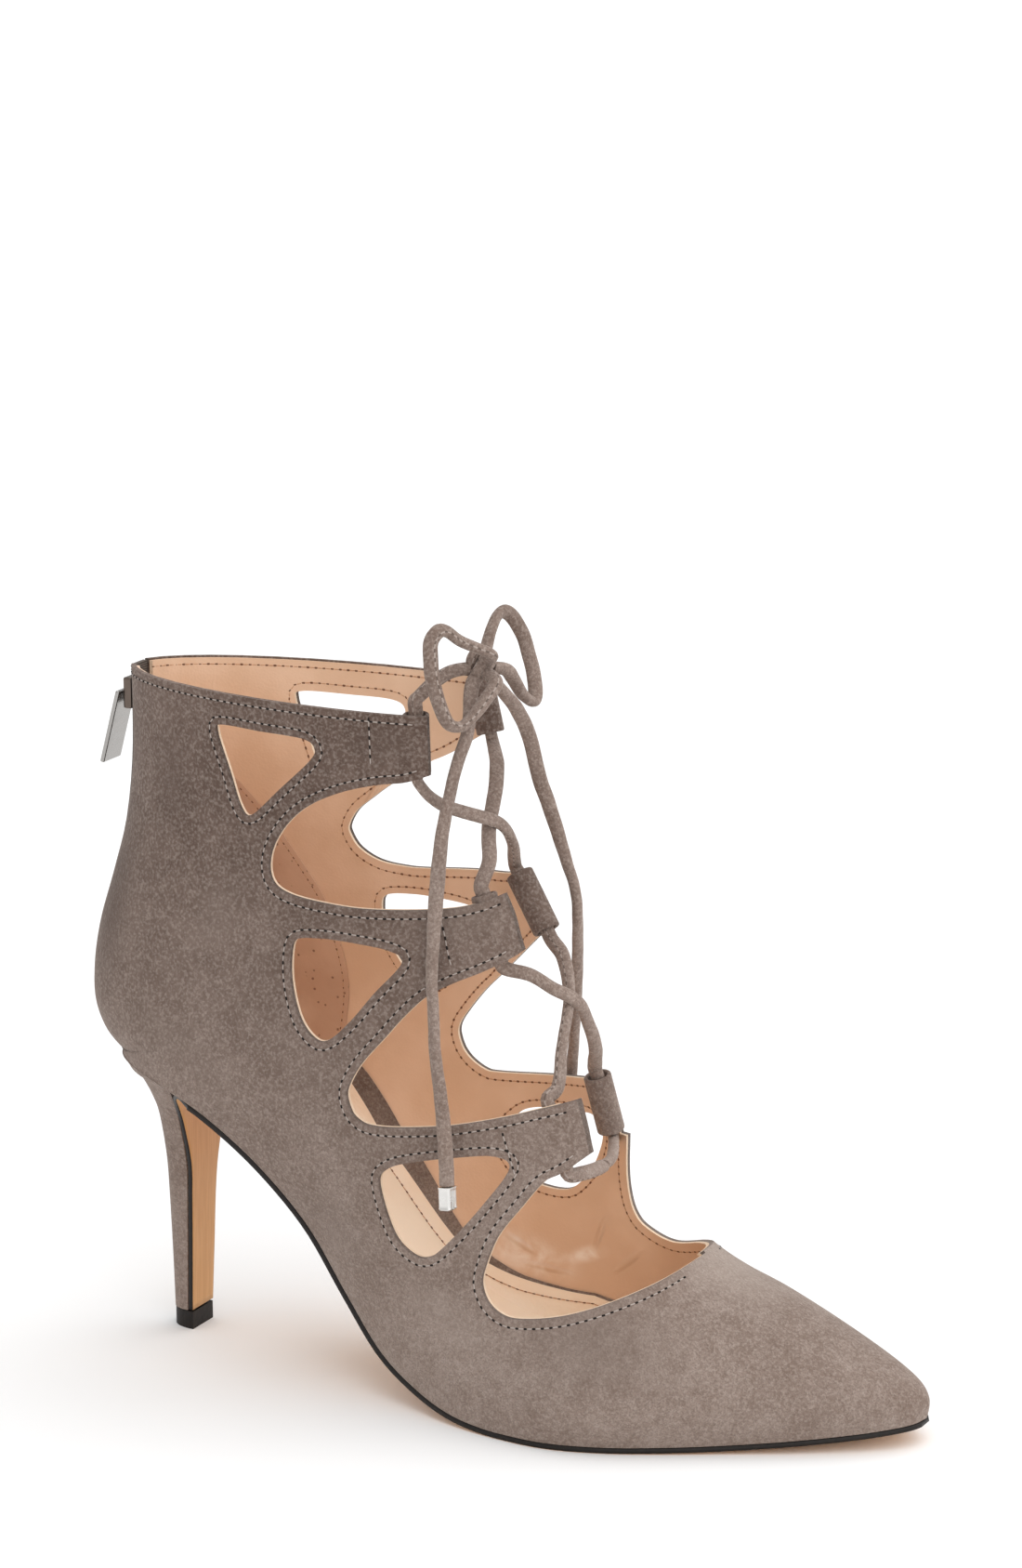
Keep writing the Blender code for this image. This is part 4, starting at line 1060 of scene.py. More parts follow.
def tube_bmesh(
    bm: bmesh.types.BMesh,
    points: Sequence[Vector],
    radius: Callable[[float, float], float],
    sides: int = 20,
) -> None:
    """Adds a tube with closed ends along a line, with a UV map in metres.

    Args:
        bm: Mesh that the tube is added to.
        points: The tube's centre line.
        radius: Radius from the angle and the distance along the line.
        sides: Number of sides.
    """
    travelled = 0.0
    rings, lengths = [], []
    for index, (point, (_, side, up)) in enumerate(zip(points, frames_along(points))):
        if index:
            travelled += (point - points[index - 1]).length
        lengths.append(travelled)
        ring = []
        for angle in circle(sides):
            reach = radius(angle, travelled)
            ring.append(bm.verts.new(point + side * math.cos(angle) * reach + up * math.sin(angle) * reach))
        rings.append(ring)
    layer = bm.loops.layers.uv.verify()
    for a, b, s0, s1 in zip(rings, rings[1:], lengths, lengths[1:]):
        for i, face in enumerate(bridge(bm, a, b)):
            for loop, uv in zip(face.loops, ((i, s0), (i + 1, s0), (i + 1, s1), (i, s1))):
                loop[layer].uv = (uv[0] / sides, uv[1])
    bm.faces.new(rings[0][::-1])
    bm.faces.new(rings[-1])


def tunnel_sleeve(
    bm: bmesh.types.BMesh, foot: Vector, top: Vector, outside: float, bore: float, sides: int = 32
) -> None:
    """Adds a hollow rolled sleeve with rounded rims.

    Args:
        bm: Mesh that the sleeve is added to.
        foot: Lower end of its axis.
        top: Upper end of its axis.
        outside: Outer diameter.
        bore: Inner diameter.
        sides: Number of sides.
    """
    along = (top - foot).normalized()
    lip = (outside - bore) / 4
    middle = (outside + bore) / 4
    stations = []
    for rim, inward, sign in ((foot, along, -1.0), (top, -along, 1.0)):
        for angle in spread(0.0, math.pi, 6):
            centre = rim + inward * (lip - math.sin(angle) * lip)
            stations.append((centre, middle + sign * math.cos(angle) * lip))
    turn = along.to_track_quat("Z", "Y").to_matrix()
    rings = [
        [
            bm.verts.new(centre + turn @ Vector((math.cos(a) * radius, math.sin(a) * radius, 0.0)))
            for a in circle(sides)
        ]
        for centre, radius in stations
    ]
    for a, b in zip(rings, [*rings[1:], rings[0]]):
        bridge(bm, a, b)


@dataclass
class Upper:
    """Suede shell, lining shell and the rolled strap ends."""

    last: Last
    looks: "Looks"
    steps: int = 8
    lower_columns: int = 10
    upper_columns: int = 22
    lining_drop: float = 0.4 * MM
    roll_overhang: float = 0.6 * MM
    near_roll_slimmer: float = 0.5 * MM

    def shell(self, name: str, depth: float, thickness: float) -> bpy.types.Object:
        """Shell that starts a depth under the outer surface.

        Args:
            name: Name of the object.
            depth: The depth, 0 for the outer shell.
            thickness: Thickness of its wall.

        Returns:
            The shell, not yet cut.
        """
        rows = self.last.surface_rows(self.steps, self.lower_columns, self.upper_columns)
        if depth:
            lid = SIZES.collar - self.lining_drop
            rows = [[Vector((p.x, p.y, min(p.z, lid))) for p in row] for row in rows]
        return solid_sheet(loft(rows), name, thickness, -(1.0 + 2.0 * depth / thickness))

    def sleeves(self) -> bpy.types.Object:
        """Rolled suede around the lace tunnels of all straps, slimmer inside the flat near ends."""
        bm = bmesh.new()
        outside = SIZES.tunnel_bore + 2 * SIZES.tunnel_wall
        for side in Side:
            slim = self.near_roll_slimmer if side == Side.LATERAL else 0.0
            for strap in range(len(STRAP_ENDS[side])):
                foot, top = self.last.tunnel(side, strap)
                along = (top - foot).normalized()
                if strap == 0:
                    top = foot + along * ((SIZES.collar - foot.z) / along.z)
                else:
                    top = top + along * self.roll_overhang
                low = foot - along * self.roll_overhang
                tunnel_sleeve(bm, low, top, outside - slim, SIZES.tunnel_bore - slim / 2)
        return closed_object(bm, "strap_rolls")

    def build(self) -> None:
        """Builds both shells, cuts them, and adds the rolled strap ends."""
        cutters = Cutters(self.last)
        cutters.build()
        outer = self.shell("suede_shell", 0.0, SIZES.suede)
        inner = self.shell("lining_shell", SIZES.suede + SIZES.shell_gap, SIZES.lining)
        for shell, edge in ((outer, self.looks.suede_edge), (inner, self.looks.lining_edge)):
            face = self.looks.suede if shell is outer else self.looks.lining
            shell.data.materials.append(face)
            cutters.cut(shell, edge, "lining" if shell is outer else "suede")
        cutters.remove()
        keep(outer, [], "suede", ["upper"])
        keep(inner, [], "tan_lining")
        keep(self.sleeves(), [self.looks.suede], "suede")


def pill(bm: bmesh.types.BMesh, a: Vector, b: Vector, normal: Vector, width: float, height: float) -> None:
    """Adds a small flat thread bit between two points.

    Args:
        bm: Mesh that it is added to.
        a: One end.
        b: The other end.
        normal: Direction that it is flat in.
        width: Half its width.
        height: Half its thickness.
    """
    along = (b - a).normalized()
    side = along.cross(normal).normalized()
    up = side.cross(along)
    rings = []
    for share, swell in ((0.0, 0.35), (0.18, 1.0), (0.82, 1.0), (1.0, 0.35)):
        centre = a.lerp(b, share)
        rings.append([
            bm.verts.new(centre + side * math.cos(t) * width * swell + up * math.sin(t) * height * swell)
            for t in circle(6)
        ])
    for low, high in zip(rings, rings[1:]):
        bridge(bm, low, high)
    bm.faces.new(rings[0][::-1])
    bm.faces.new(rings[-1])


@dataclass
class Inside:
    """Pieces on the lining: sock, grey band and heel counter."""

    last: Last
    looks: "Looks"
    sheet: float = 0.25 * MM
    margin: float = 2.0 * MM
    sock_depth: float = 2.35 * MM
    band_depth: float = 2.22 * MM
    counter_depth: float = 2.26 * MM

    def sole_point(self, place: float, y: float, height: float) -> Vector:
        """Point at a height square over the sole line, at a place of the fan.

        Args:
            place: Place of the fan.
            y: The point's y.
            height: The height.

        Returns:
            The point.
        """
        here, ahead, behind = (self.last.arch(place + step) for step in (0.0, -0.1, 0.1))
        run = Vector((ahead.foot_x - behind.foot_x, 0.0, ahead.foot_z - behind.foot_z)).normalized()
        return Vector((here.foot_x - run.z * height, y, here.foot_z + run.x * height))

    def wall_row(self, side: Side, place: float, rises: Iterable[float], depth: float) -> list[Vector]:
        """Points up the inner wall at one place of the fan.

        Args:
            side: Side of the foot.
            place: Place of the fan.
            rises: Rises of the points.
            depth: Their depth under the outer surface.

        Returns:
            The points.
        """
        return [self.last.inside(side, place, rise, depth) for rise in rises]

    def strip(self, name: str, rows: list[list[Vector]], finish: bpy.types.Material) -> None:
        """Makes a thin leather sheet through rows of points."""
        piece = solid_sheet(loft(rows), name, self.sheet, 0.0)
        flatten(piece)
        keep(piece, [finish], "tan_lining")

    def sock(self) -> None:
        """Tan sock over the insole and up the inner wall to the grey band."""
        rows = []
        for place in spread(7.0, 19.5, 96):
            arch = self.last.arch(place)
            low, high = self.margin - arch.edge[Side.LATERAL], arch.edge[Side.MEDIAL] - self.margin
            row = [self.sole_point(place, y, self.sock_depth) for y in spread(low, high, 14)]
            start = 3.0 * MM / arch.tall
            end = max(table_value(BAND_ROWS, place, 1), start + 0.004)
            rows.append(row + self.wall_row(Side.MEDIAL, place, spread(start, end, 6), self.sock_depth))
        self.strip("sock", rows, self.looks.sock)

    def band(self) -> None:
        """Grey suede band between the sock and the inner wall."""
        rows = []
        for place in spread(8.0, 19.0, 96):
            low = max(table_value(BAND_ROWS, place, 1) - 0.012, 0.012)
            high = table_value(BAND_ROWS, place, 2)
            rows.append(self.wall_row(Side.MEDIAL, place, spread(low, high, 8), self.band_depth))
        self.strip("sock_band", rows, self.looks.band)

    def counter_rise(self, place: float) -> float:
        """Rise at which the counter's edge crosses an arch, 0 past its end."""
        arch = self.last.arch(place)
        foot = Vector((arch.foot_x, arch.foot_z))
        run = Vector((arch.ridge_x, arch.ridge_z)) - foot
        line = [Vector(p) * MM for p in smooth_line(COUNTER_EDGE, 6)]
        for a, b in zip(line, line[1:]):
            across = (b - a).cross(run)
            if abs(across) < 1e-12:
                continue
            share = run.cross(a - foot) / across
            rise = (b - a).cross(a - foot) / across
            if 0.0 <= share <= 1.0 and 0.0 < rise < 0.9:
                return rise
        return 0.0

    def counter(self) -> None:
        """Pigskin counter around the heel, cut out along the zip."""
        edge = [(place, self.counter_rise(place)) for place in spread(15.2, 26.4, 160)]
        for side in Side:
            rows = []
            for place, high in edge:
                low = 0.012 if place < FIRST_BACK_SECTION else 0.05
                if high >= low + 0.01:
                    rows.append(self.wall_row(side, place, spread(low, high, 14), self.counter_depth))
            self.strip(f"counter_{side.name.lower()}", rows, self.looks.counter)

    def build(self) -> None:
        """Builds every piece on the lining."""
        self.sock()
        self.band()
        self.counter()


StitchRow = list[tuple[Vector, Vector]]


@dataclass
class Stitching:
    """Rows of stitches along every cut edge, on the suede and on the lining."""

    last: Last
    looks: "Looks"
    pitch: float = 0.0022
    inset: float = 0.0020
    highest_rise: float = 0.975
    thread_size: tuple[float, float] = (0.16 * MM, 0.13 * MM)
    # Size of the dark bits of painted shade over the stitch holes.
    hole_shade_size: tuple[float, float] = (0.26 * MM, 0.12 * MM)

    def beside(self, outline: Sequence[Vector], distance: float) -> list[Vector]:
        """Side-view outline moved to the right of its run.

        Args:
            outline: The outline.
            distance: How far it is moved, in metres.

        Returns:
            The moved outline.
        """
        moved = []
        for index, point in enumerate(outline):
            before, after = outline[max(index - 1, 0)], outline[min(index + 1, len(outline) - 1)]
            run = (after - before).normalized()
            moved.append(point + Vector((run.z, 0.0, -run.x)) * distance)
        return moved

    def gap_lines(self, side: Side) -> list[list[Vector]]:
        """Lines along the gaps, which stop short of the strap ends."""
        lines = []
        ends = STRAP_ENDS[side]
        cut = 3 if side == Side.LATERAL else 8
        for (_, lower), gap, following in zip(ends, GAPS[side], (*ends[1:], None)):
            corners = [lower, *gap, following[0]] if following else [lower, *gap[:-1]]
            edge = even_line(self.last.side_view(smooth_line(corners, 8)), 0.6 * MM)
            lines.append(self.beside(edge, self.inset)[cut:-cut if following else None])
        return lines

    def hole_lines(self, side: Side) -> list[list[Vector]]:
        """Lines round the cut-outs, outside them."""
        lines = []
        for hole in HOLES[side]:
            loop = self.last.side_view(smooth_loop(hole, 8))
            area = sum(a.x * b.z - b.x * a.z for a, b in zip(loop, [*loop[1:], loop[0]]))
            closed = even_line([*loop, loop[0]], 0.6 * MM)
            lines.append(self.beside(closed if area > 0 else closed[::-1], self.inset))
        return lines

    def lines(self, side: Side) -> list[list[Vector]]:
        """Side-view lines of all stitch rows on one side."""
        ends = STRAP_ENDS[side]
        top = SIZES.collar - self.inset
        front, back = ends[0][0][0] * SIZES.length - 3.0 * MM, -9.6 * MM
        collar = [Vector((front, 0.0, top)), Vector((back, 0.0, top))]
        lines = [*self.gap_lines(side), *self.hole_lines(side), collar]
        if side == Side.LATERAL:
            for upper, lower in (self.last.side_view(end) for end in ends):
                low, high = self.beside([lower, upper], -14.5 * MM)
                lines.append([low.lerp(high, 0.10), low.lerp(high, 0.90)])
        return lines

    def row(self, side: Side, line: Sequence[Vector]) -> StitchRow:
        """Points of a stitch row on the shoe, each with the surface's normal there.

        Args:
            side: Side of the foot.
            line: The row's line in the side view.

        Returns:
            The row, without the points too near the ridge.
        """
        found = []
        for place in even_line(line, 1.0 * MM):
            if self.last.find(place.x, place.z)[1] > self.highest_rise:
                continue
            found.append((self.last.wall(side, place.x, place.z), self.last.normal(side, place.x, place.z)))
        spaced = []
        for point in even_line([p for p, _ in found], self.pitch):
            nearest = min(found, key=lambda pair: (pair[0] - point).length_squared)
            spaced.append((point, nearest[1]))
        return spaced

    def sew(
        self,
        name: str,
        rows: Iterable[StitchRow],
        thread: bpy.types.Material,
        hole_shade_finish: bpy.types.Material,
    ) -> None:
        """Makes thread bits between the points of rows and, at each point, a dark bit of painted shade for
        its stitch hole.

        Args:
            name: Name of the two pieces, before _threads and _holes.
            rows: The stitch rows.
            thread: Material of the thread bits.
            hole_shade_finish: Material of the dark bits that paint the shade of the stitch holes.
        """
        threads, holes = bmesh.new(), bmesh.new()
        for row in rows:
            for (a, n), (b, m) in zip(row, row[1:]):
                if (b - a).length > 2.2 * self.pitch:
                    continue
                normal = (n + m).normalized()
                pill(threads, a.lerp(b, 0.20), a.lerp(b, 0.80), normal, *self.thread_size)
                # Painted shade: a dark bit over the stitch hole.
                pill(holes, a.lerp(b, 0.80), b + (b - a) * 0.20, normal, *self.hole_shade_size)
        for bm, kind, finish in ((threads, "threads", thread), (holes, "holes", hole_shade_finish)):
            keep(closed_object(bm, f"{name}_{kind}"), [finish], "suede")

    def build(self) -> None:
        """Sews all rows."""
        looks = self.looks
        under = SIZES.suede + SIZES.shell_gap + SIZES.lining
        for side in Side:
            name = side.name.lower()
            outer = [self.row(side, line) for line in self.lines(side)]
            inner = [[(p - n * (under + 0.02 * MM), n) for p, n in row] for row in outer]
            self.sew(f"stitches_{name}", outer, looks.thread, looks.hole)
            self.sew(f"lining_stitches_{name}", inner, looks.tan_thread, looks.brown_hole)
        self.seams()

    def seams(self) -> None:
        """Sews the sock's row and the counter's front seam."""
        kit = Inside(self.last, self.looks)
        table = sorted(SOCK_STITCHES)
        sock = []
        for place in spread(SOCK_STITCHES[0][0], SOCK_STITCHES[-1][0], 220):
            rise = table_value(table, place, 1)
            if rise < 0.03:
                edge = self.last.arch(place).edge[Side.MEDIAL]
                sock.append(kit.sole_point(place, edge - 2.6 * MM, 2.5 * MM))
            else:
                sock.append(self.last.inside(Side.MEDIAL, place, rise, 2.5 * MM))
        up = Vector((0.0, -0.3, 1.0)).normalized()
        rows = [[(p, up) for p in even_line(sock, self.pitch)]]
        rises = [(place, kit.counter_rise(place)) for place in spread(15.4, 26.2, 120)]
        for side in Side:
            seam = [
                self.last.inside(side, place, rise - 0.012, 2.3 * MM)
                for place, rise in rises if rise > 0.05
            ]
            rows.append([(p, Vector((0.0, -float(side), 0.0))) for p in even_line(seam, self.pitch)])
        self.sew("inner_seams", rows, self.looks.tan_thread, self.looks.brown_hole)


@dataclass
class Zip:
    """Teeth of the zip up the heel's back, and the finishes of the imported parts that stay."""

    last: Last
    looks: "Looks"
    tooth_pitch: float = 0.9 * MM
    top_stop: float = 0.6 * MM
    open_height: float = 6 * MM
    open_width: float = 1.5 * MM

    def line(self) -> list[Vector]:
        """The zip's line up the heel's back, to the collar."""
        foot = SIZES.collar - SIZES.zip_length
        arches = [self.last.arch(i / 8) for i in range(8 * FIRST_BACK_SECTION, 8 * LAST_SECTION + 1)]
        points = [Vector((a.foot_x, 0.0, a.foot_z)) for a in arches]
        return [p for p in points if p.z > foot + MM]

    def teeth(self) -> None:
        """Small bars from both sides, which part in the open V at the top."""
        bm = bmesh.new()
        slot = SIZES.zip_slot / 2
        for index, point in enumerate(even_line(self.line(), self.tooth_pitch)):
            if point.z > SIZES.collar - self.top_stop:
                continue
            share = (point.z - SIZES.collar + self.open_height) / self.open_height
            parted = self.open_width * max(0.0, share)
            for side in Side:
                meshed = parted == 0.0 and index % 2 == (side > 0)
                inner = (0.1 * MM if meshed else 0.5 * MM) + parted
                outer = min(inner + 1.4 * MM, slot - 0.3 * MM)
                a, b = (point + Vector((0.42 * MM, side * y, 0.0)) for y in (inner, outer))
                pill(bm, a, b, Vector((-1.0, 0.0, 0.0)), 0.30 * MM, 0.42 * MM)
        keep(closed_object(bm, "zip_teeth"), [self.looks.teeth], "zip_tape")

    def build(self) -> None:
        """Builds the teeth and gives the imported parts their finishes."""
        self.teeth()
        finishes = {
            "zip_tape": self.looks.tape,
            "zip_slider": self.looks.gunmetal,
            "zip_pull": self.looks.steel,
            "top_lift": self.looks.lift,
        }
        for node, finish in finishes.items():
            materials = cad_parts[node].data.materials
            for index in range(len(materials)):
                materials[index] = finish


@dataclass
class Sole:
    """Insole board, outsole with its breast flap, and covered heel."""

    last: Last
    looks: "Looks"
    line: SoleLine
    columns: int = 16
    rows: int = 96
    insole_inset: float = 0.0040
    insole_thickness: float = 0.0020
    outsole_drop: float = 0.0014
    outsole_rim: float = 0.0001
    outsole_thickness: float = 0.0012
    cover_lift: float = 0.12 * MM

    def build(self) -> None:
        """Builds the pieces under the foot."""
        self.insole()
        self.outsole()
        self.heel()

    def insole(self) -> None:
        """Board inside the upper's lower edge, under the sock."""
        inset = self.insole_inset
        start, end = self.line.ends(inset)
        turns = spread(0.0, math.pi, self.rows)
        along = [start + (end - start) * (1 - math.cos(turn)) / 2 for turn in turns]
        rows = [self.line.row(place, inset, 0.0, self.columns) for place in along]
        board = solid_sheet(loft(rows), "insole_board", self.insole_thickness, 1.0)
        flatten(board)
        keep(board, [self.looks.lining], "tan_lining", ["insole"])

    def outsole(self) -> None:
        """Thin leather sole with painted edges, down the heel's breast as a flap."""
        start, _ = self.line.ends(-self.outsole_rim)
        breast_x = BREAST_ROWS[0][0] * SIZES.length + 0.005
        travelled = start
        while self.line.place(travelled, 0.0)[0] > breast_x:
            travelled += 0.1 * MM
        turns = spread(0.0, math.pi / 2, self.rows)
        along = [start + (travelled - start) * (1 - math.cos(turn)) for turn in turns]
        rows = [self.line.row(place, -self.outsole_rim, self.outsole_drop, self.columns) for place in along]
        edge = rows[-1]
        flap = [
            (x * SIZES.length, half * SIZES.ball_width, z * SIZES.seat_height)
            for x, z, half in BREAST_ROWS
        ]
        flap.insert(0, (edge[0].x, (edge[-1].y - edge[0].y) / 2, edge[0].z))
        for x, half, z in smooth_line(flap, 8)[1:]:
            rows.append([Vector((x, half * (2 * i / self.columns - 1), z)) for i in range(self.columns + 1)])
        sole = solid_sheet(loft(rows), "outsole_leather", self.outsole_thickness, 1.0)
        sole.modifiers["wall"].material_offset_rim = 1
        keep(sole, [self.looks.sole, self.looks.black_edge], "tan_sole_leather", ["outsole"])
        flatten(sole)
        for polygon in sole.data.polygons:
            if polygon.normal.z > 0.15:
                polygon.material_index = 1

    def ring(self, row: HeelRing, steps: int = 20) -> list[Vector]:
        """Ring of heel points: round at the back, flat across the breast.

        Args:
            row: The ring's numbers.
            steps: Points on each side.

        Returns:
            The ring, lateral side first.
        """
        x0, x1 = row.front_x * SIZES.length, row.back_x * SIZES.length
        z0, z1 = row.front_z * SIZES.seat_height, row.back_z * SIZES.seat_height
        half = row.half_width * SIZES.ball_width
        points = []
        for step in range(2 * steps + 1):
            angle = math.pi / 2 * (step - steps) / steps
            depth = math.cos(angle) ** (2 / row.roundness) if abs(step - steps) < steps else 0.0
            side = math.copysign(abs(math.sin(angle)) ** (2 / row.roundness), angle)
            points.append(Vector((x0 + (x1 - x0) * depth, side * half, z0 + (z1 - z0) * depth)))
        return points

    def seat_ring(self, steps: int = 20) -> list[Vector]:
        """Ring of the heel on the upper: from the breast it climbs to the back of the seat.

        Args:
            steps: Points on each side.

        Returns:
            The ring, lateral side first.
        """
        first, final, back = 16.97, 20.5, 20.8
        half = []
        for step in range(steps):
            share = step / steps
            turn = max(0.0, (share - 0.8) / 0.2)
            run = min(share / 0.8, 1.0)
            place = first + (final - first) * run + (back - final) * turn
            height = (0.3 + 2.0 * run**1.5) * MM
            half.append((place, height / self.last.arch(place).tall * (1.0 - turn) ** 2.4))
        tip = self.last.arch(back)
        lateral, medial = (
            [self.last.inside(side, place, rise, -self.cover_lift) for place, rise in half] for side in Side
        )
        return [*lateral, Vector((tip.foot_x - 0.1 * MM, 0.0, tip.foot_z)), *medial[::-1]]

    def heel(self) -> None:
        """Suede-covered heel, a loft from the seat to the tip."""
        flat = [tuple(vars(ring).values()) for ring in HEEL_RINGS]
        rings = [self.ring(HeelRing(*values)) for values in smooth_line(flat, 8)]
        rings.insert(0, self.seat_ring())
        bm = loft(rings, closed=True)
        bmesh.ops.holes_fill(bm, edges=[e for e in bm.edges if e.is_boundary])
        keep(closed_object(bm, "heel_cover"), [self.looks.suede], "heel_suede", ["heel"])


@dataclass
class Lace:
    """The lace: crossings through the tunnels, knot, bow loops, ends and tips."""

    last: Last
    looks: "Looks"
    knot: Vector = field(default_factory=lambda: Vector(KNOT_CENTRE) * MM)
    knot_reach: float = 0.0034
    spacing: float = 0.6 * MM

    def at_knot(self, point: Vector) -> Vector:
        """Place beside the knot where a cord that comes from a point ends."""
        return self.knot + (point - self.knot).normalized() * self.knot_reach

    def smooth(self, route: Sequence[Vector]) -> list[Vector]:
        """Even centre line through a route's points."""
        return even_line(smooth_line(route, 16), self.spacing)

    def half(self, first: Side) -> list[Vector]:
        """Centre line of one half of the lace, from the bottom bar up to the knot.

        Args:
            first: Side of the first tunnel that it runs through.

        Returns:
            The line.
        """
        bar = [Vector(p) * MM for p in BOTTOM_BAR]
        if first == Side.MEDIAL:
            bar.reverse()
        route = [bar[1], bar[0]]
        side = first
        for strap in (2, 1, 0):
            foot, top = self.last.tunnel(side, strap)
            along = (top - foot).normalized() * 3 * MM
            route += [foot - along, foot, (foot + top) / 2, top, top + along]
            other = Side(-side)
            following = f"{other.name.lower()}_{strap}" if strap else "knot"
            strand = CROSSING_STRANDS[f"{side.name.lower()}_{strap + 1}_to_{following}"]
            route += [Vector(p) * MM for p in strand]
            side = other
        route.append(self.at_knot(route[-1]))
        return self.smooth(route)

    def cord(self, name: str, lines: Iterable[Sequence[Vector]], node: str) -> bpy.types.Object:
        """Cord object: a folded, softly twisting suede ribbon.

        Args:
            name: Name of the object.
            lines: Its centre lines.
            node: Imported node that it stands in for.

        Returns:
            The object.
        """
        bm = bmesh.new()
        for line in lines:
            tube_bmesh(bm, line, self.ribbon, sides=24)
        cord = closed_object(bm, name)
        keep(cord, [self.looks.lace], "lace_suede", [node])
        return cord

    @staticmethod
    def ribbon(angle: float, along: float) -> float:
        """Radius of the folded ribbon, an oval that turns slowly along the lace.

        Args:
            angle: Angle round the lace.
            along: Distance along it, in metres.

        Returns:
            The radius.
        """
        wide, thin = 1.86 * MM, 1.34 * MM
        turned = angle - 0.9 * math.sin(along * 58.0) - 0.5 * math.sin(along * 23.0 + 1.0)
        oval = wide * thin / math.hypot(thin * math.cos(turned), wide * math.sin(turned))
        return oval + 0.03 * MM * math.sin(along * 900.0 + 3 * angle)

    def wrap(self) -> None:
        """Knot as a cord wound over itself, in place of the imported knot."""
        line = []
        for t in spread(0.0, 2 * math.pi, 120):
            ring = (2.0 + math.cos(3 * t)) * 1.26
            offset = Vector((math.sin(3 * t) * 1.55, math.sin(2 * t) * ring, math.cos(2 * t) * ring))
            line.append(self.knot + offset * MM)
        bm = bmesh.new()
        tube_bmesh(bm, line, lambda angle, along: 1.38 * MM)
        keep(closed_object(bm, "lace_knot_wrap"), [self.looks.lace], "lace_suede", ["lace_knot"])

    def tip(self, name: str, line: Sequence[Vector]) -> bpy.types.Object:
        """Folded metal clamp on a lace end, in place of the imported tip.

        Args:
            name: The end's side.
            line: Centre line of the lace end.

        Returns:
            The clamp.
        """
        node = f"lace_tip_{name}"
        low, high = (Vector(c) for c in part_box(node))
        middle = (low + high) / 2
        along = (line[-1] - line[-5]).normalized()
        half = (high.z - low.z) / 2 / max(abs(along.z), 0.5) - 0.2 * MM
        points = [middle + along * (half * (i / 8 - 1)) for i in range(17)]

        def clamp(angle: float, travelled: float) -> float:
            """Rounded oblong section with a lip at both ends and a fold line."""
            wide, thin = 2.15 * MM, 1.75 * MM
            reach = (abs(math.cos(angle) / wide) ** 4 + abs(math.sin(angle) / thin) ** 4) ** -0.25
            rim = min(travelled, 2 * half - travelled)
            lip = 0.12 * MM if rim < 0.5 * MM else 0.0
            closed = 0.25 * MM if travelled > 2 * half - 0.2 * MM else 0.0
            fold = 0.22 * MM * max(0.0, math.cos(2 * (angle - 1.1))) ** 24
            return reach + lip - closed - fold

        bm = bmesh.new()
        tube_bmesh(bm, points, clamp, sides=48)
        made = closed_object(bm, f"lace_clamp_{name}")
        keep(made, [self.looks.silver], "tip_metal", [node])
        return made

    def build(self) -> None:
        self.cord("lace_crossing_cord", [self.half(Side.LATERAL), self.half(Side.MEDIAL)], "lace_crossings")
        self.wrap()
        for name, route in CORD_ROUTES.items():
            points = [Vector(p) * MM for p in route]
            points.insert(0, self.at_knot(points[0]))
            bow = "bow" in name
            if bow:
                points.append(self.at_knot(points[-1]))
            line = self.smooth(points)
            cord = self.cord(f"{name}_cord", [line], name)
            tips = [] if bow else [self.tip(name.rsplit("_", 1)[-1], line)]


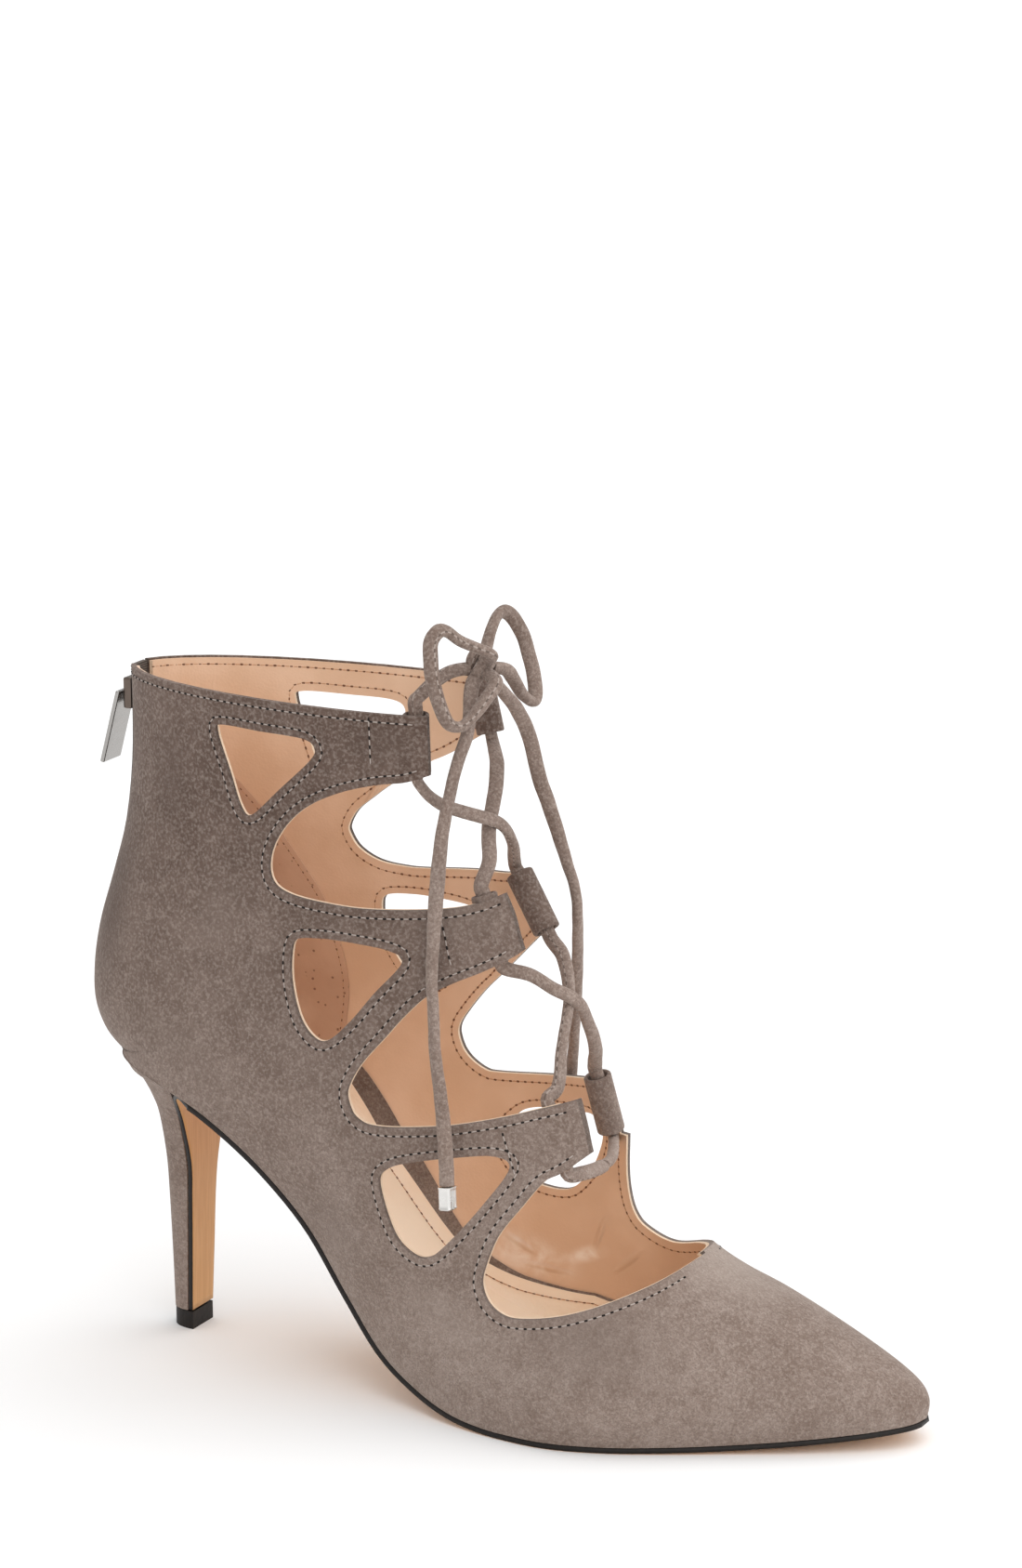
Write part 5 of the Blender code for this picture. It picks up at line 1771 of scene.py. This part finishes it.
class Shader:
    """Builds one Principled material from procedural nodes."""

    def __init__(self, name: str, roughness: float, metallic: float = 0.0) -> None:
        """Starts a material.

        Args:
            name: Name of the material.
            roughness: Roughness of the whole surface.
            metallic: 1 for metal.
        """
        self.material = bpy.data.materials.new(name)
        self.material.use_nodes = True
        self.tree = self.material.node_tree
        self.shader = self.tree.nodes["Principled BSDF"]
        self.shader.inputs["Roughness"].default_value = roughness
        self.shader.inputs["Metallic"].default_value = metallic
        self.coordinates = self.tree.nodes.new("ShaderNodeTexCoord").outputs["Object"]

    def node(
        self, kind: str, output: str, settings: dict[str, object], inputs: dict[str | int, object]
    ) -> Socket:
        """Adds a node.

        Args:
            kind: Blender's name of the node type.
            output: Name of the output that is returned.
            settings: Properties of the node.
            inputs: Input values; a socket is linked.

        Returns:
            The output socket.
        """
        made = self.tree.nodes.new(kind)
        for key, value in settings.items():
            setattr(made, key, value)
        for key, value in inputs.items():
            if isinstance(value, bpy.types.NodeSocket):
                self.tree.links.new(value, made.inputs[key])
            else:
                made.inputs[key].default_value = value
        return made.outputs[output]

    def noise(
        self, scale: float, detail: float = 2.0, vector: Socket | None = None, distortion: float = 0.0
    ) -> Socket:
        """Noise with features of about one over the scale, in metres.

        Args:
            scale: Features to a metre.
            detail: How much finer noise is added.
            vector: Coordinates, the object's own when left out.
            distortion: How far the noise is bent.

        Returns:
            The noise, 0 to 1.
        """
        inputs = {
            "Vector": vector or self.coordinates,
            "Scale": scale,
            "Detail": detail,
            "Distortion": distortion,
        }
        return self.node("ShaderNodeTexNoise", "Fac", {}, inputs)

    def cells(self, scale: float, randomness: float = 1.0) -> Socket:
        """Distance to the nearest of scattered points."""
        inputs = {"Vector": self.coordinates, "Scale": scale, "Randomness": randomness}
        return self.node("ShaderNodeTexVoronoi", "Distance", {}, inputs)

    def span(self, value: Socket, low: float, high: float, start: float = 0.0, end: float = 1.0) -> Socket:
        """Value mapped from one range to another, smoothly and clamped.

        Args:
            value: The value.
            low: Start of its range.
            high: End of its range.
            start: Result at low.
            end: Result at high.

        Returns:
            The result.
        """
        inputs = {"Value": value, "From Min": low, "From Max": high, "To Min": start, "To Max": end}
        return self.node("ShaderNodeMapRange", "Result", {"interpolation_type": "SMOOTHSTEP"}, inputs)

    def maths(self, operation: str, first: Socket | float, second: Socket | float) -> Socket:
        """Result of one operation on two values."""
        return self.node("ShaderNodeMath", "Value", {"operation": operation}, {0: first, 1: second})

    def mix(self, share: Socket | float, first: Socket | Colour, second: Socket | Colour) -> Socket:
        """Colour between two colours.

        Args:
            share: 0 for the first colour, 1 for the second.
            first: First colour.
            second: Second colour.

        Returns:
            The colour.
        """
        made = self.tree.nodes.new("ShaderNodeMix")
        made.data_type = "RGBA"
        for index, value in ((0, share), (6, first), (7, second)):
            if isinstance(value, bpy.types.NodeSocket):
                self.tree.links.new(value, made.inputs[index])
            else:
                made.inputs[index].default_value = (*value, 1.0) if index else value
        return made.outputs[2]

    def patch(self, place: Sequence[float], size: Sequence[float], turn: Sequence[float]) -> Socket:
        """Soft ellipsoid: 1 in its middle and 0 from its surface outwards.

        Args:
            place: Middle of the ellipsoid in millimetres.
            size: Its three half axes in millimetres.
            turn: Its turns about X, Y and Z in degrees.

        Returns:
            The ellipsoid's value.
        """
        inputs = {
            "Vector": self.coordinates,
            "Location": [v * MM for v in place],
            "Rotation": [math.radians(v) for v in turn],
            "Scale": [v * MM for v in size],
        }
        local = self.node("ShaderNodeMapping", "Vector", {"vector_type": "TEXTURE"}, inputs)
        ball = self.node("ShaderNodeTexGradient", "Fac", {"gradient_type": "SPHERICAL"}, {"Vector": local})
        return self.span(ball, 0.0, 1.0)

    def bump(self, height: Socket, distance: float, normal: Socket | None = None) -> Socket:
        """Normal from a height between 0 and 1 and a depth in metres.

        Args:
            height: The height.
            distance: The depth.
            normal: Normal of a coarser or finer bump under it.

        Returns:
            The normal.
        """
        inputs = {"Height": height, "Distance": distance}
        if normal is not None:
            inputs["Normal"] = normal
        return self.node("ShaderNodeBump", "Normal", {}, inputs)

    def use(self, name: str, value: Socket | Colour | float) -> None:
        """Links an output, or sets a number or colour, on the shader."""
        if isinstance(value, bpy.types.NodeSocket):
            self.tree.links.new(value, self.shader.inputs[name])
        elif isinstance(value, tuple):
            self.shader.inputs[name].default_value = (*value, 1.0)
        else:
            self.shader.inputs[name].default_value = value


def toned(colour: Colour, tone: float) -> Colour:
    """Colour made darker or brighter."""
    return tuple(v * tone for v in colour)


@dataclass(frozen=True)
class SuedeColours:
    """The suede's darker and lighter tones at the floor and, darker as painted shade, at the collar, and its
    flecks.
    """

    low: tuple[Colour, Colour] = ((0.215, 0.156, 0.127), (0.325, 0.255, 0.218))
    # Painted shade: the collar's tones are darker than the floor's.
    high: tuple[Colour, Colour] = ((0.092, 0.058, 0.045), (0.155, 0.106, 0.086))
    speck: Colour = (0.50, 0.42, 0.37)
    pit: Colour = (0.105, 0.075, 0.060)
    sheen: Colour = (0.92, 0.84, 0.78)


@dataclass(frozen=True)
class PlainFinish:
    """A metal, thread or painted hole shade, told by name, colour and roughness."""

    name: str
    colour: Colour
    roughness: float


METALS = (
    PlainFinish("silver", (0.78, 0.765, 0.74), 0.28),
    PlainFinish("steel", (0.40, 0.385, 0.37), 0.24),
    PlainFinish("zip_teeth_metal", (0.46, 0.42, 0.38), 0.30),
    PlainFinish("gunmetal", (0.16, 0.125, 0.105), 0.35),
)
THREADS = (
    PlainFinish("grey_thread", (0.410, 0.350, 0.315), 0.6),
    PlainFinish("tan_thread", (0.56, 0.31, 0.175), 0.6),
    # Painted shade: brown bits over the lining's stitch holes.
    PlainFinish("brown_hole", (0.17, 0.068, 0.032), 0.6),
)


class Looks:
    """Procedural materials of the shoe."""

    def __init__(self) -> None:
        """Makes every material."""
        self.suede = self.make_suede("suede", 1.0)
        self.suede_edge = self.make_suede("suede_edge", 0.62)
        self.lace = self.make_suede("lace", 1.14, seam=True)
        self.band = self.make_suede("band", 0.85)
        self.lining = self.make_lining()
        self.counter = self.make_counter()
        self.lining_edge = self.make_raw_edge()
        self.sock = self.make_sock()
        self.sole = self.make_sole()
        self.black_edge = self.make_black("black_edge", 0.42)
        self.lift = self.make_black("top_lift_rubber", 0.55)
        self.tape = self.make_tape()
        # Painted shade: near-black bits over the suede's stitch holes.
        self.hole = self.make_black("needle_hole", 0.9)
        self.silver, self.steel, self.teeth, self.gunmetal = (self.make_metal(f) for f in METALS)
        self.thread, self.tan_thread, self.brown_hole = (self.make_thread(f) for f in THREADS)

    def make_suede(self, name: str, tone: float, seam: bool = False) -> bpy.types.Material:
        """Taupe suede: brushed patches, fine nap and a soft sheen, with painted light and shade in listed
        patches and painted shade that darkens it up the shaft.

        Args:
            name: Name of the material.
            tone: Brightness, 1 for the upper.
            seam: Whether a stitched seam runs along the piece's UV map.

        Returns:
            The material.
        """
        s = Shader(name, 0.95)
        colours = SuedeColours()
        clouds = s.maths("MULTIPLY", s.noise(30.0, 3.0, distortion=0.6), 0.42)
        brushed = s.maths("MULTIPLY", s.noise(150.0, 4.0, distortion=0.3), 0.30)
        fine = s.maths("MULTIPLY", s.noise(520.0, 3.0), 0.28)
        grain = s.noise(1250.0, 3.0)
        nap = s.noise(2600.0, 2.0)
        shade = s.span(s.maths("ADD", s.maths("ADD", clouds, brushed), fine), 0.355, 0.655)
        low, high = (s.mix(shade, *(toned(c, tone) for c in pair)) for pair in (colours.low, colours.high))
        # Painted shade: the colour goes from the floor tones to the darker collar tones up the shaft.
        height = s.node("ShaderNodeSeparateXYZ", "Z", {}, {"Vector": s.coordinates})
        shaft_shade = s.maths("MULTIPLY", s.span(height, 0.005, 0.165), 0.45 if seam else 1.0)
        colour = s.mix(shaft_shade, low, high)
        speck = s.maths("MULTIPLY", s.span(grain, 0.42, 0.68), 0.30)
        colour = s.mix(speck, colour, toned(colours.speck, tone))
        pit = s.maths("MULTIPLY", s.span(nap, 0.58, 0.36), 0.34)
        colour = s.mix(pit, colour, toned(colours.pit, tone))
        if seam:
            colour = self.add_seam(s, colour)
        else:
            # Painted light and shade: listed lighter and darker patches mixed into the suede's colour.
            for place, size, turn, painted_tone, strength in SUEDE_PAINTED_LIGHT_AND_SHADE:
                painted_spot = s.maths("MULTIPLY", s.patch(place, size, turn), strength)
                colour = s.mix(painted_spot, colour, toned(painted_tone, tone))
        s.use("Base Color", colour)
        s.use("Normal", s.bump(nap, 0.00012, s.bump(grain, 0.00028)))
        s.use("Sheen Weight", 0.24)
        s.use("Sheen Roughness", 0.45)
        s.use("Sheen Tint", colours.sheen)
        s.use("Specular IOR Level", 0.12)
        return s.material

    def add_seam(self, s: Shader, colour: Socket) -> Socket:
        """Colour with a seam and its stitches along the lace, read from the UV map.

        Args:
            s: The lace's shader.
            colour: Colour of the suede.

        Returns:
            The colour.
        """
        around = s.node("ShaderNodeTexCoord", "UV", {}, {})
        u = s.node("ShaderNodeSeparateXYZ", "X", {}, {"Vector": around})
        v = s.node("ShaderNodeSeparateXYZ", "Y", {}, {"Vector": around})
        offset = s.maths("ABSOLUTE", s.maths("SUBTRACT", u, 0.62), 0.0)
        groove = s.span(offset, 0.026, 0.008)
        dash = s.span(s.maths("PINGPONG", v, 0.0011), 0.00042, 0.00058)
        stitch = s.mix(dash, (0.105, 0.078, 0.066), (0.42, 0.35, 0.31))
        return s.mix(s.maths("MULTIPLY", groove, 0.8), colour, stitch)

    def make_lining(self) -> bpy.types.Material:
        """Smooth peach lining leather with wrinkles and painted highlights."""
        s = Shader("lining", 0.38)
        tint = s.noise(45.0, 3.0)
        colour = s.mix(s.span(tint, 0.35, 0.68), (0.735, 0.478, 0.310), (0.825, 0.568, 0.395))
        # Painted highlights: pale streaky patches where the lining's gloss catches the light.
        highlight_streaks = s.span(s.noise(170.0, 4.0, distortion=0.5), 0.30, 0.72)
        for place, size, turn in LINING_PAINTED_HIGHLIGHTS:
            painted_highlight = s.maths("MULTIPLY", s.patch(place, size, turn), s.maths("MULTIPLY", highlight_streaks, 0.95))
            colour = s.mix(painted_highlight, colour, (0.98, 0.86, 0.74))
        s.use("Base Color", colour)
        pores = s.bump(s.cells(1500.0), 0.00004)
        soft = s.bump(s.noise(110.0, 2.0), 0.00030, pores)
        folds = None
        for place, size, turn in LINING_WRINKLES:
            fold = s.patch(place, size, turn)
            folds = fold if folds is None else s.maths("ADD", folds, fold)
        s.use("Normal", s.bump(folds, 0.00045, soft))
        s.use("Coat Weight", 0.35)
        s.use("Coat Roughness", 0.3)
        return s.material

    def make_counter(self) -> bpy.types.Material:
        """Darker pigskin at the heel, with pores in the hide."""
        s = Shader("counter_pigskin", 0.6)
        tint = s.noise(60.0, 3.0)
        colour = s.mix(s.span(tint, 0.35, 0.68), (0.560, 0.340, 0.225), (0.655, 0.420, 0.285))
        pore = s.span(s.cells(330.0, 0.9), 0.16, 0.07)
        colour = s.mix(s.maths("MULTIPLY", pore, 0.75), colour, (0.17, 0.075, 0.045))
        s.use("Base Color", colour)
        s.use("Normal", s.bump(pore, -0.00012, s.bump(s.noise(420.0, 3.0), 0.00015)))
        return s.material

    def make_raw_edge(self) -> bpy.types.Material:
        """Cream cut edge of the lining."""
        s = Shader("lining_edge", 0.85)
        fibre = s.noise(900.0, 3.0)
        s.use("Base Color", s.mix(fibre, (0.62, 0.43, 0.29), (0.86, 0.70, 0.53)))
        s.use("Normal", s.bump(fibre, 0.0002))
        return s.material

    def make_sock(self) -> bpy.types.Material:
        """Pale tan sock leather on the insole."""
        s = Shader("sock_leather", 0.48)
        tint = s.noise(35.0, 3.0)
        s.use("Base Color", s.mix(s.span(tint, 0.35, 0.65), (0.970, 0.775, 0.590), (0.990, 0.840, 0.665)))
        pores = s.bump(s.cells(1200.0), 0.00005)
        s.use("Normal", s.bump(s.noise(160.0, 3.0), 0.00025, pores))
        return s.material

    def make_sole(self) -> bpy.types.Material:
        """Tan sole leather with faint lengthwise brush marks and scuffs."""
        s = Shader("sole_leather", 0.5)
        stretch = s.node(
            "ShaderNodeMapping", "Vector", {}, {"Vector": s.coordinates, "Scale": (260.0, 1600.0, 90.0)}
        )
        streak = s.noise(1.0, 4.0, vector=stretch)
        colour = s.mix(s.span(streak, 0.3, 0.7), (0.585, 0.312, 0.122), (0.650, 0.362, 0.152))
        scuff = s.span(s.noise(420.0, 6.0, distortion=1.5), 0.70, 0.78)
        colour = s.mix(s.maths("MULTIPLY", scuff, 0.5), colour, (0.62, 0.44, 0.29))
        s.use("Base Color", colour)
        s.use("Normal", s.bump(streak, 0.00008))
        return s.material

    def make_black(self, name: str, roughness: float) -> bpy.types.Material:
        """Nearly black painted edge or rubber with a faint grain, also the painted shade of stitch holes."""
        s = Shader(name, roughness)
        grain = s.noise(700.0, 4.0)
        s.use("Base Color", s.mix(grain, (0.008, 0.006, 0.005), (0.022, 0.017, 0.015)))
        s.use("Specular IOR Level", 0.25)
        s.use("Normal", s.bump(grain, 0.00012))
        return s.material

    def make_tape(self) -> bpy.types.Material:
        """Dark woven zip tape."""
        s = Shader("zip_tape_weave", 0.85)
        inputs = {"Vector": s.coordinates, "Scale": 520.0}
        weave = s.node("ShaderNodeTexWave", "Fac", {"bands_direction": "Z"}, inputs)
        s.use("Base Color", s.mix(weave, (0.045, 0.036, 0.030), (0.115, 0.092, 0.078)))
        s.use("Normal", s.bump(weave, 0.0001))
        return s.material

    def make_metal(self, finish: PlainFinish) -> bpy.types.Material:
        """Plated metal with small smudges."""
        s = Shader(finish.name, finish.roughness, 1.0)
        smudge = s.noise(500.0, 3.0)
        s.use("Base Color", s.mix(smudge, toned(finish.colour, 0.88), finish.colour))
        s.use("Roughness", s.span(smudge, 0.2, 0.8, finish.roughness * 0.75, finish.roughness * 1.35))
        s.use("Normal", s.bump(s.noise(1800.0, 2.0), 0.00002))
        return s.material

    def make_thread(self, finish: PlainFinish) -> bpy.types.Material:
        """Twisted sewing thread."""
        s = Shader(finish.name, finish.roughness)
        ply = s.noise(3200.0, 2.0)
        s.use("Base Color", s.mix(ply, toned(finish.colour, 0.72), toned(finish.colour, 1.25)))
        s.use("Normal", s.bump(ply, 0.0001))
        return s.material


@dataclass(frozen=True)
class View:
    """The photo's viewpoint, read from the photo."""

    aim: tuple[float, float, float] = (0.090, 0.0, 0.085)
    azimuth: float = 27.0
    elevation: float = 17.0
    distance: float = 1.270
    focal_pixels: float = 5525.0
    centre_pixels: tuple[float, float] = (532.0, 1133.0)
    picture: tuple[int, int] = (1100, 1687)


@dataclass(frozen=True)
class Light:
    """One far, wide and soft light.

    The direction runs from the shoe to the light, the strength is in W/m2, and the width is
    how wide the light looks from the shoe, in degrees.
    """

    name: str
    direction: tuple[float, float, float]
    strength: float
    width: float


LIGHTS = (
    Light("top_softbox", (0.45, 0.12, 0.88), 1.80, 95.0),
    Light("front_softbox", (0.60, -0.75, 0.35), 0.32, 50.0),
)


@dataclass(frozen=True)
class Studio:
    """White floor, soft lights and camera."""

    view: View
    floor_size: float = 9.0
    floor_white: float = 0.95
    sky_strength: float = 0.70
    def camera(self) -> None:
        """Places the camera at the photo's angle."""
        view = self.view
        az, el = math.radians(view.azimuth), math.radians(view.elevation)
        back = Vector((math.sin(az) * math.cos(el), -math.cos(az) * math.cos(el), math.sin(el)))
        data = bpy.data.cameras.new("photo_camera")
        width, height = view.picture
        data.sensor_fit = "AUTO"
        data.sensor_width = 36.0
        data.lens = view.focal_pixels * data.sensor_width / max(width, height)
        data.shift_x = (width / 2 - view.centre_pixels[0]) / max(width, height)
        data.shift_y = (view.centre_pixels[1] - height / 2) / max(width, height)
        data.clip_start, data.clip_end = 0.01, 20.0
        camera = bpy.data.objects.new("photo_camera", data)
        bpy.context.scene.collection.objects.link(camera)
        camera.location = Vector(view.aim) + back * view.distance
        camera.rotation_euler = back.to_track_quat("Z", "Y").to_euler()
        bpy.context.scene.camera = camera

    def light(self, light: Light) -> None:
        """Adds one light."""
        data = bpy.data.lights.new(light.name, "SUN")
        data.energy = light.strength
        data.angle = math.radians(light.width)
        lamp = bpy.data.objects.new(light.name, data)
        bpy.context.scene.collection.objects.link(lamp)
        lamp.rotation_euler = Vector(light.direction).to_track_quat("Z", "Y").to_euler()

    def floor(self) -> None:
        """Adds the white floor."""
        bm = bmesh.new()
        bmesh.ops.create_grid(bm, x_segments=1, y_segments=1, size=self.floor_size)
        floor = mesh_object(bm, "studio_floor")
        white = bpy.data.materials.new("studio_white")
        white.use_nodes = True
        shader = white.node_tree.nodes["Principled BSDF"]
        shader.inputs["Base Color"].default_value = (*(3 * (self.floor_white,)), 1.0)
        shader.inputs["Roughness"].default_value = 0.9
        floor.data.materials.append(white)

    def build(self) -> None:
        """Builds the stage."""
        self.floor()
        world = bpy.data.worlds.new("studio")
        world.use_nodes = True
        world.node_tree.nodes["Background"].inputs[0].default_value = (1.0, 1.0, 1.0, 1.0)
        world.node_tree.nodes["Background"].inputs[1].default_value = self.sky_strength
        bpy.context.scene.world = world
        bpy.context.scene.view_settings.view_transform = "Standard"
        for light in LIGHTS:
            self.light(light)
        self.camera()


def main() -> None:
    """Builds the shoe's pieces, their looks and the studio."""
    logging.basicConfig(level=logging.INFO, format="%(message)s")
    last = Last()
    looks = Looks()
    Upper(last, looks).build()
    Inside(last, looks).build()
    Stitching(last, looks).build()
    Zip(last, looks).build()
    Sole(last, looks, SoleLine(last)).build()
    Lace(last, looks).build()
    Studio(View()).build()


if __name__ == "__main__":
    main()
